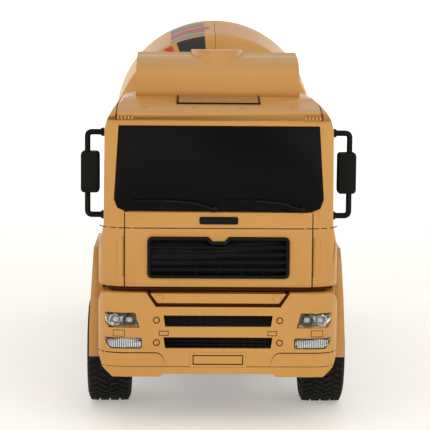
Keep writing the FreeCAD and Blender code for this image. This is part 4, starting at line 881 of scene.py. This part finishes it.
def bumper_detail():
    """Grooves, bosses, plate frame and intake slats on the bumper."""
    groove = []
    for side in (1, -1):
        line = [(side * (63.7 - step * 30.7 / 30), 40.7) for step in range(31)]
        for step in range(1, 9):
            angle = math.radians(90 * step / 8)
            line.append((side * (33 - 5 * math.sin(angle)), 40.7 - 7.2 * (1 - math.cos(angle))))
        groove.append(strip(line, 0.55, bumper_y))
        for level in (49.5, 52.8):
            groove.append(strip(level_line(side * 49.3, side * 55.6, level, 10), 0.3, bumper_y))
        for x in (49.4, 55.5):
            groove.append(upright(side * x, 49.4, 52.9, 0.3, bumper_y))
        edges = sorted((side * 26.2, side * 31.3))
        groove += frame_of(edges[0], edges[1], 49.9, 52.5, 0.35, BUMPER_FACE - 0.06, BUMPER_FACE + 0.2)
    groove.append(strip(level_line(-61.5, 61.5, 33.3, 80), 0.28, bumper_y))
    joined("bumper_grooves", TRUCK, SEAM_AND_SHADE, groove)
    notch = [(-32.8, 65.3), (32.8, 65.3), (38.6, 72.6), (-38.6, 72.6)]
    shadow = [prism(notch, -198.4, -197.6)]
    joined("step_shadow", TRUCK, SEAM_AND_SHADE, shadow)
    bosses, rings = [], []
    for side in (1, -1):
        for x, z in ((32.6, 58.2), (32.6, 46.2)):
            bosses.append(
                lathe(
                    [(-199.5, 1.3), (-199.85, 1.25), (-199.98, 1.0), (-199.98, 0.0)],
                    24,
                    "Y",
                    (side * x, 0, z),
                ),
            )
            rings.append(
                lathe(
                    [(-199.5, 1.9), (-199.76, 1.85), (-199.76, 1.3), (-199.5, 1.25)],
                    24,
                    "Y",
                    (side * x, 0, z),
                ),
            )
    shade_hard(joined("bumper_bosses", TRUCK, YELLOW, bosses))
    shade_hard(joined("bumper_boss_rings", TRUCK, SEAM_AND_SHADE, rings))
    plate = prism(rounded_outline(rectangle(-13.2, 13.2, 34.5, 39.4), 0.5), -199.75, -199.3)
    sharpen(joined("plate_face", TRUCK, YELLOW, [plate]), 0.1 * MM)
    joined(
        "plate_outline",
        TRUCK,
        PRINT_BLACK,
        frame_of(-13.35, 13.35, 34.35, 39.55, 0.5, -199.8, -199.45),
    )
    slats = []
    for z in (56.4, 58.3, 44.9, 46.8):
        slats.append(cuboid((-28.6, 28.6), (-198.7, -197.9), (z, z + 0.5)))
    for step in range(-7, 8):
        slats.append(cuboid((step * 4 - 0.2, step * 4 + 0.2), (-198.3, -197.7), (42.5, 61)))
    joined("intake_slats", TRUCK, BLACK, slats)
    step = rounded_outline([(-32.2, 67.3), (32.2, 67.3), (35.9, 72.4), (-35.9, 72.4)], 0.7)
    piece = joined("step_bar", TRUCK, YELLOW, [prism(step, -199.3, -182.2)])
    sharpen(piece, 0.3 * MM)
    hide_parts("bumper_step")
    pads = [cuboid(sorted((side * 29.3, side * 32.9)), (-199.9, -199.2), (68.3, 71.4)) for side in (1, -1)]
    sharpen(joined("step_pads", TRUCK, YELLOW, pads), 0.3 * MM)


def lamps():
    """Two round lamps behind a clear cover each side, and a ribbed fog lamp under them."""
    bowls, reflectors, leds, fogs, edges = [], [], [], [], []
    for side in (1, -1):
        for x, radius, bright in ((54.6, 3.0, True), (47.0, 3.5, False)):
            centre = (side * x, 0, 58.0)
            y = bumper_y(x) + 2.8
            bowl = [
                (y - 1.9, radius + 0.35),
                (y - 2.0, radius),
                (y - 1.2, radius * 0.85),
                (y, radius * 0.5),
                (y, 0.0),
            ]
            (reflectors if bright else bowls).append(lathe(bowl, 32, "Y", centre))
            leds.append(
                lathe([(y - 0.2, radius * 0.5), (y - 1.0, radius * 0.38), (y - 1.3, 0.0)], 24, "Y", centre),
            )
        low, high = 54.3, 61.8
        fins = []
        for step in range(14):
            x = 42.8 + step * 1.28
            y = bumper_y(x) + 2.6
            fins.append(cuboid(sorted((side * x, side * (x + 0.8))), (y, y + 0.9), (low, high)))
        bowls_back = [cuboid(sorted((side * 42.0, side * 59.6)), (-196.2, -195.4), (low, high))]
        reflectors += fins
        bowls += bowls_back
        outer_edge = [
            cuboid(
                sorted((side * 58.5, side * 59.7)),
                (bumper_y(59) + 0.9, bumper_y(59) + 2.2),
                (57.2, 61.7),
            ),
        ]
        edges += outer_edge
        for step in range(16):
            x = 41.0 + step * 1.13
            y = bumper_y(x) + 0.7
            fogs.append(cuboid(sorted((side * x, side * (x + 0.75))), (y, y + 1.2), (43.4, 48.2)))
    piece = joined("lamp_reflectors", TRUCK, CHROME, reflectors)
    shade_hard(piece)
    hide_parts("headlight_reflectors")
    shade_hard(joined("lamp_bowls", TRUCK, DARK_CHROME, bowls))
    shade_hard(joined("lamp_leds", TRUCK, LED, leds))
    joined("lamp_red_edges", TRUCK, RED_EDGE, edges)
    covers = []
    for side in (1, -1):
        for outline in (HEAD_COVER, FOG_COVER):
            line = outline if side > 0 else mirror_outline(outline)
            covers.append(curved_plate(line, 0.35, 0.5))
    cover = joined("lamp_covers", TRUCK, LENS, covers)
    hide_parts("lamp_lenses")
    ribs = joined("fog_lamp_ribs", TRUCK, CHROME, fogs)
    shade_hard(ribs)


HEAD_COVER = [(41.8, 54.2), (58.0, 54.2), (59.8, 57.2), (59.8, 61.9), (44.1, 61.9)]
FOG_COVER = [
    (41.3, 43.0),
    (57.0, 43.0),
    (59.0, 45.2),
    (59.8, 48.5),
    (41.2, 48.5),
    (40.5, 47.8),
    (40.5, 43.8),
]


def curved_plate(outline, behind, thick):
    """A thin plate with a given front outline that follows the bumper's rounded face."""
    dense = []
    count = len(outline)
    for index in range(count):
        (x0, z0), (x1, z1) = outline[index], outline[(index + 1) % count]
        pieces = max(1, int(abs(x1 - x0) / 1.5))
        dense += [
            (x0 + (x1 - x0) * step / pieces, z0 + (z1 - z0) * step / pieces)
            for step in range(pieces)
        ]
    count = len(dense)
    front = [(x, bumper_y(x) + behind, z) for x, z in dense]
    back = [(x, bumper_y(x) + behind + thick, z) for x, z in dense]
    faces = [list(range(count)), list(range(2 * count - 1, count - 1, -1))]
    faces += [[i, (i + 1) % count, count + (i + 1) % count, count + i] for i in range(count)]
    return front + back, faces


LED = moulded("led_look", (238, 238, 230), (228, 228, 220), 0.15, coat=0.6)
RED_EDGE = moulded("lamp_edge_look", (110, 48, 26), (98, 40, 22), 0.35, coat=0.4)


def wipers():
    """Two wiper arms with blades, parked along the bottom of the windscreen."""

    def glass_y(z):
        return -197.0 + 7.0 * (z - 115.4) / 45 - 0.9

    for number, (tip, pivot) in enumerate(((-46, -6), (1.5, 40))):
        blade = [
            (x, glass_y(z), z)
            for x, z in ((tip, 121.2), (tip + 12, 121.5), (tip + 24, 121.2), (tip + 36, 120.2))
        ]
        tube("wiper_blade_%d" % number, TRUCK, BLACK, [Vector(p) for p in blade], 0.5)
        arm = [
            (tip + 18, glass_y(122) - 0.6, 121.6),
            (pivot - 6, glass_y(120) - 0.7, 120.2),
            (pivot + 1, glass_y(118) - 0.5, 117.9),
            (pivot + 4, glass_y(117) - 0.3, 117.2),
        ]
        tube("wiper_arm_%d" % number, TRUCK, FRAME_BLACK, bent(arm, 1.6), 0.55)
        hub = [(glass_y(117) - 1.0, 0.0), (glass_y(117) - 1.0, 1.3), (glass_y(117) + 0.8, 1.5)]
        shade_hard(
            joined(
                "wiper_hub_%d" % number,
                TRUCK,
                BLACK,
                [lathe(hub, 24, "Y", (pivot + 4, 0, 117.2))],
            ),
        )


def door_mirrors():
    """Bent tube brackets with barrel-sided mirror housings."""
    for side_name, side in (("left", 1), ("right", -1)):
        y = -180
        path = bent(
            [
                Vector((side * 61.2, y, 156.3)),
                Vector((side * 69.9, y, 156.3)),
                Vector((side * 69.9, y, 112)),
                Vector((side * 61.2, y, 112)),
            ],
            2.6,
            8,
        )
        bracket = tube("mirror_bracket_" + side_name, TRUCK, BLACK, path, 1.55)
        if side > 0:
            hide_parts("mirrors")
        flanges = []
        for z in (156.3, 112):
            flanges.append(
                lathe(
                    [(side * 61.0, 0.0), (side * 61.0, 2.3), (side * 62.3, 2.3), (side * 62.9, 1.7)],
                    24,
                    "X",
                    (0, y, z),
                ),
            )
        shade_hard(joined("mirror_flanges_" + side_name, TRUCK, BLACK, flanges))
        mirror_housing(side_name, side, y)


def mirror_housing(side_name, side, y):
    """A housing with bulged sides and a shallow glass in its back."""
    centre_x, centre_z = side * 68.5, 135.0
    rings = []
    for depth, grow in ((-3.3, -1.2), (-3.0, -0.5), (-2.0, 0.0), (3.6, 0.0), (4.4, -0.5)):
        outline = barrel(5.4 + grow, 11.1 + grow)
        rings.append([(centre_x + u, y + depth, centre_z + v) for u, v in outline])
    vertices = [point for ring in rings for point in ring]
    count = len(rings[0])
    faces = [list(range(count)), list(range((len(rings) - 1) * count, len(rings) * count))]
    for ring in range(len(rings) - 1):
        for index in range(count):
            following = (index + 1) % count
            faces.append(
                [
                    ring * count + index,
                    ring * count + following,
                    (ring + 1) * count + following,
                    (ring + 1) * count + index,
                ],
            )
    shade_hard(made("mirror_housing_" + side_name, TRUCK, BLACK, vertices, faces))
    glass = prism([(centre_x + u, centre_z + v) for u, v in barrel(4.2, 9.9)], y + 4.35, y + 4.55)
    joined("mirror_glass_" + side_name, TRUCK, CHROME, [glass])


def barrel(half_width, half_height, steps=7):
    """A rectangle with bulged sides and rounded corners."""
    corner = 2.2
    outline = rounded_outline(rectangle(-half_width, half_width, -half_height, half_height), corner, steps)
    return [(u * (1 - 0.10 * (v / half_height) ** 2), v) for u, v in outline]


def roof_detail():
    """The hatch lid with its chromed strip, the visor's ridged lamps and the roof bosses."""
    slope = [(-167.4, 171.5), (-151.5, 174.1), (-151.5, 173.5), (-167.4, 170.9)]
    sharpen(
        joined("hatch_chrome", TRUCK, CHROME, [prism(slope, -21.6, 21.6, "YZ")]),
        0.12 * MM,
    )
    edge = frame_of(-22.4, 22.4, 170.6, 171.5, 0.9, -168.6, -167.4)[:1]
    edge += both(
        lambda side: [
            prism(
                [(-168.4, 170.9), (-168.4, 171.8), (-151, 174.5), (-151, 173.4)],
                *sorted((side * 21.5, side * 22.4)),
                "YZ",
            ),
        ],
    )
    sharpen(joined("hatch_edge", TRUCK, BLACK, edge), 0.1 * MM)
    ridges = []
    for side in (1, -1):
        for step in range(5):
            x = 45.4 + step * 1.9
            ridges.append(cuboid(sorted((side * x, side * (x + 1.0))), (-189.0, -187.4), (163.8, 165.3)))
    sharpen(joined("visor_marker_lamps", TRUCK, YELLOW, ridges), 0.15 * MM)
    bosses = []
    for x in (-40, -12.8, 12.8, 40):
        bosses.append(
            lathe([(169.0, 1.7), (169.9, 1.5), (170.05, 0.8), (170.05, 0.0)], 24, "Z", (x, -175.5, 0)),
        )
    shade_hard(joined("roof_bosses", TRUCK, YELLOW, bosses))
    for side_name, side in (("left", 1), ("right", -1)):
        route = [
            (side * 54.4, -188.9, 163.4),
            (side * 54.4, -187.3, 167.0),
            (side * 54.4, -170, 170.25),
            (side * 54.4, -99, 170.25),
        ]
        tube(
            "roof_seam_" + side_name,
            TRUCK,
            SEAM_AND_SHADE,
            [Vector(point) for point in route],
            0.3,
        )
# ---------------------------------------------------------------- stage, light and camera

FLOOR = shader("floor_look", (222, 220, 215), 0.6)
FLOOR.node_tree.nodes["Principled BSDF"].inputs["Emission Color"].default_value = linear((255, 252, 246))
FLOOR_RADIUS, SWEEP_RADIUS, WALL_TOP = 4.2, 0.8, 1.5
GLOW_NEAR, GLOW_FAR, GLOW_STRENGTHS = 0.35, 1.3, (0.35, 0.64)


def brighten_far(material, near, far, strengths):
    """Lets a pale floor glow more with its distance from the middle of the studio."""
    tree = material.node_tree
    place = tree.nodes.new("ShaderNodeNewGeometry")
    length = tree.nodes.new("ShaderNodeVectorMath")
    length.operation = "LENGTH"
    spread = tree.nodes.new("ShaderNodeMapRange")
    spread.interpolation_type = "SMOOTHSTEP"
    spread.inputs["From Min"].default_value = near
    spread.inputs["From Max"].default_value = far
    spread.inputs["To Min"].default_value, spread.inputs["To Max"].default_value = strengths
    tree.links.new(place.outputs["Position"], length.inputs[0])
    tree.links.new(length.outputs["Value"], spread.inputs["Value"])
    tree.links.new(spread.outputs["Result"], tree.nodes["Principled BSDF"].inputs["Emission Strength"])


def floor():
    """A pale round floor that turns up into a low white wall all round."""
    brighten_far(FLOOR, GLOW_NEAR, GLOW_FAR, GLOW_STRENGTHS)
    profile = [(0.0, 0.0), (0.5, 0.0), (1.5, 0.0), (FLOOR_RADIUS, 0.0)]
    for step in range(1, 13):
        angle = math.radians(90 * step / 12)
        profile.append(
            (FLOOR_RADIUS + SWEEP_RADIUS * math.sin(angle), SWEEP_RADIUS * (1 - math.cos(angle))),
        )
    profile.append((FLOOR_RADIUS + SWEEP_RADIUS, WALL_TOP))
    vertices, faces = [(0.0, 0.0, 0.0)], []
    around = 96
    for reach, z in profile[1:]:
        for step in range(around):
            angle = math.tau * step / around
            vertices.append((reach * math.cos(angle), reach * math.sin(angle), z))
    for step in range(around):
        faces.append([0, 1 + step, 1 + (step + 1) % around])
    for row in range(len(profile) - 2):
        first, second = 1 + row * around, 1 + (row + 1) * around
        for step in range(around):
            after = (step + 1) % around
            faces.append([first + step, second + step, second + after, first + after])
    mesh = bpy.data.meshes.new("floor")
    mesh.from_pydata(vertices, [], faces)
    for polygon in mesh.polygons:
        polygon.use_smooth = True
    mesh.materials.append(FLOOR)
    piece = bpy.data.objects.new("floor", mesh)
    bpy.context.scene.collection.objects.link(piece)


def softbox(name, place, aim, size, power):
    light = bpy.data.lights.new(name, "AREA")
    light.shape = "RECTANGLE"
    light.size, light.size_y = size
    light.energy = power
    lamp = bpy.data.objects.new(name, light)
    lamp.location = place
    lamp.rotation_euler = (Vector(aim) - Vector(place)).to_track_quat("-Z", "Y").to_euler()
    bpy.context.scene.collection.objects.link(lamp)


# Softboxes: name, place, aim, size and power.
MIDDLE = (0, -0.1, 0.1)
SOFTBOXES = [
    ("key", (0.9, -1.5, 1.2), MIDDLE, (1.0, 1.0), 6.2),
    ("fill", (-1.3, -1.4, 0.9), MIDDLE, (1.2, 1.2), 4),
    ("top", (0, 0.0, 1.9), (0, 0, 0.1), (1.6, 1.6), 4),
]
AMBIENT = 0.67


def studio():
    """A pale room with three softboxes."""
    world = bpy.data.worlds.new("studio")
    bpy.context.scene.world = world
    world.use_nodes = True
    back = world.node_tree.nodes["Background"]
    back.inputs["Color"].default_value = (1, 1, 1, 1)
    back.inputs["Strength"].default_value = AMBIENT
    for name, place, aim, size, power in SOFTBOXES:
        softbox(name, place, aim, size, power)
    bpy.context.scene.view_settings.view_transform = "Standard"


# The camera, in metres, millimetres of lens and degrees.
EYE_PLACE = (-0.0208, -1.1498, 0.2314)
FOCAL_LENGTH, SENSOR_WIDTH = 152.66, 36
YAW, LOOK_DOWN, ROLL = -1.127, 7.02, 0.45


def camera():
    data = bpy.data.cameras.new("camera")
    data.lens, data.sensor_width = FOCAL_LENGTH, SENSOR_WIDTH
    data.clip_start, data.clip_end = 0.05, 30
    eye = bpy.data.objects.new("camera", data)
    eye.location = EYE_PLACE
    yaw, pitch, roll = math.radians(YAW), math.radians(90 - LOOK_DOWN), math.radians(ROLL)
    facing = Matrix.Rotation(yaw, 4, "Z") @ Matrix.Rotation(pitch, 4, "X") @ Matrix.Rotation(roll, 4, "Z")
    eye.rotation_euler = facing.to_euler()
    bpy.context.scene.collection.objects.link(eye)
    bpy.context.scene.camera = eye


# ---------------------------------------------------------------- the whole scene

dress_cad_nodes()
badge()
cab_seams()
grille_detail()
bumper_detail()
lamps()
wipers()
door_mirrors()
roof_detail()
wheels()
drum()
roof_deflector()
floor()
studio()
camera()
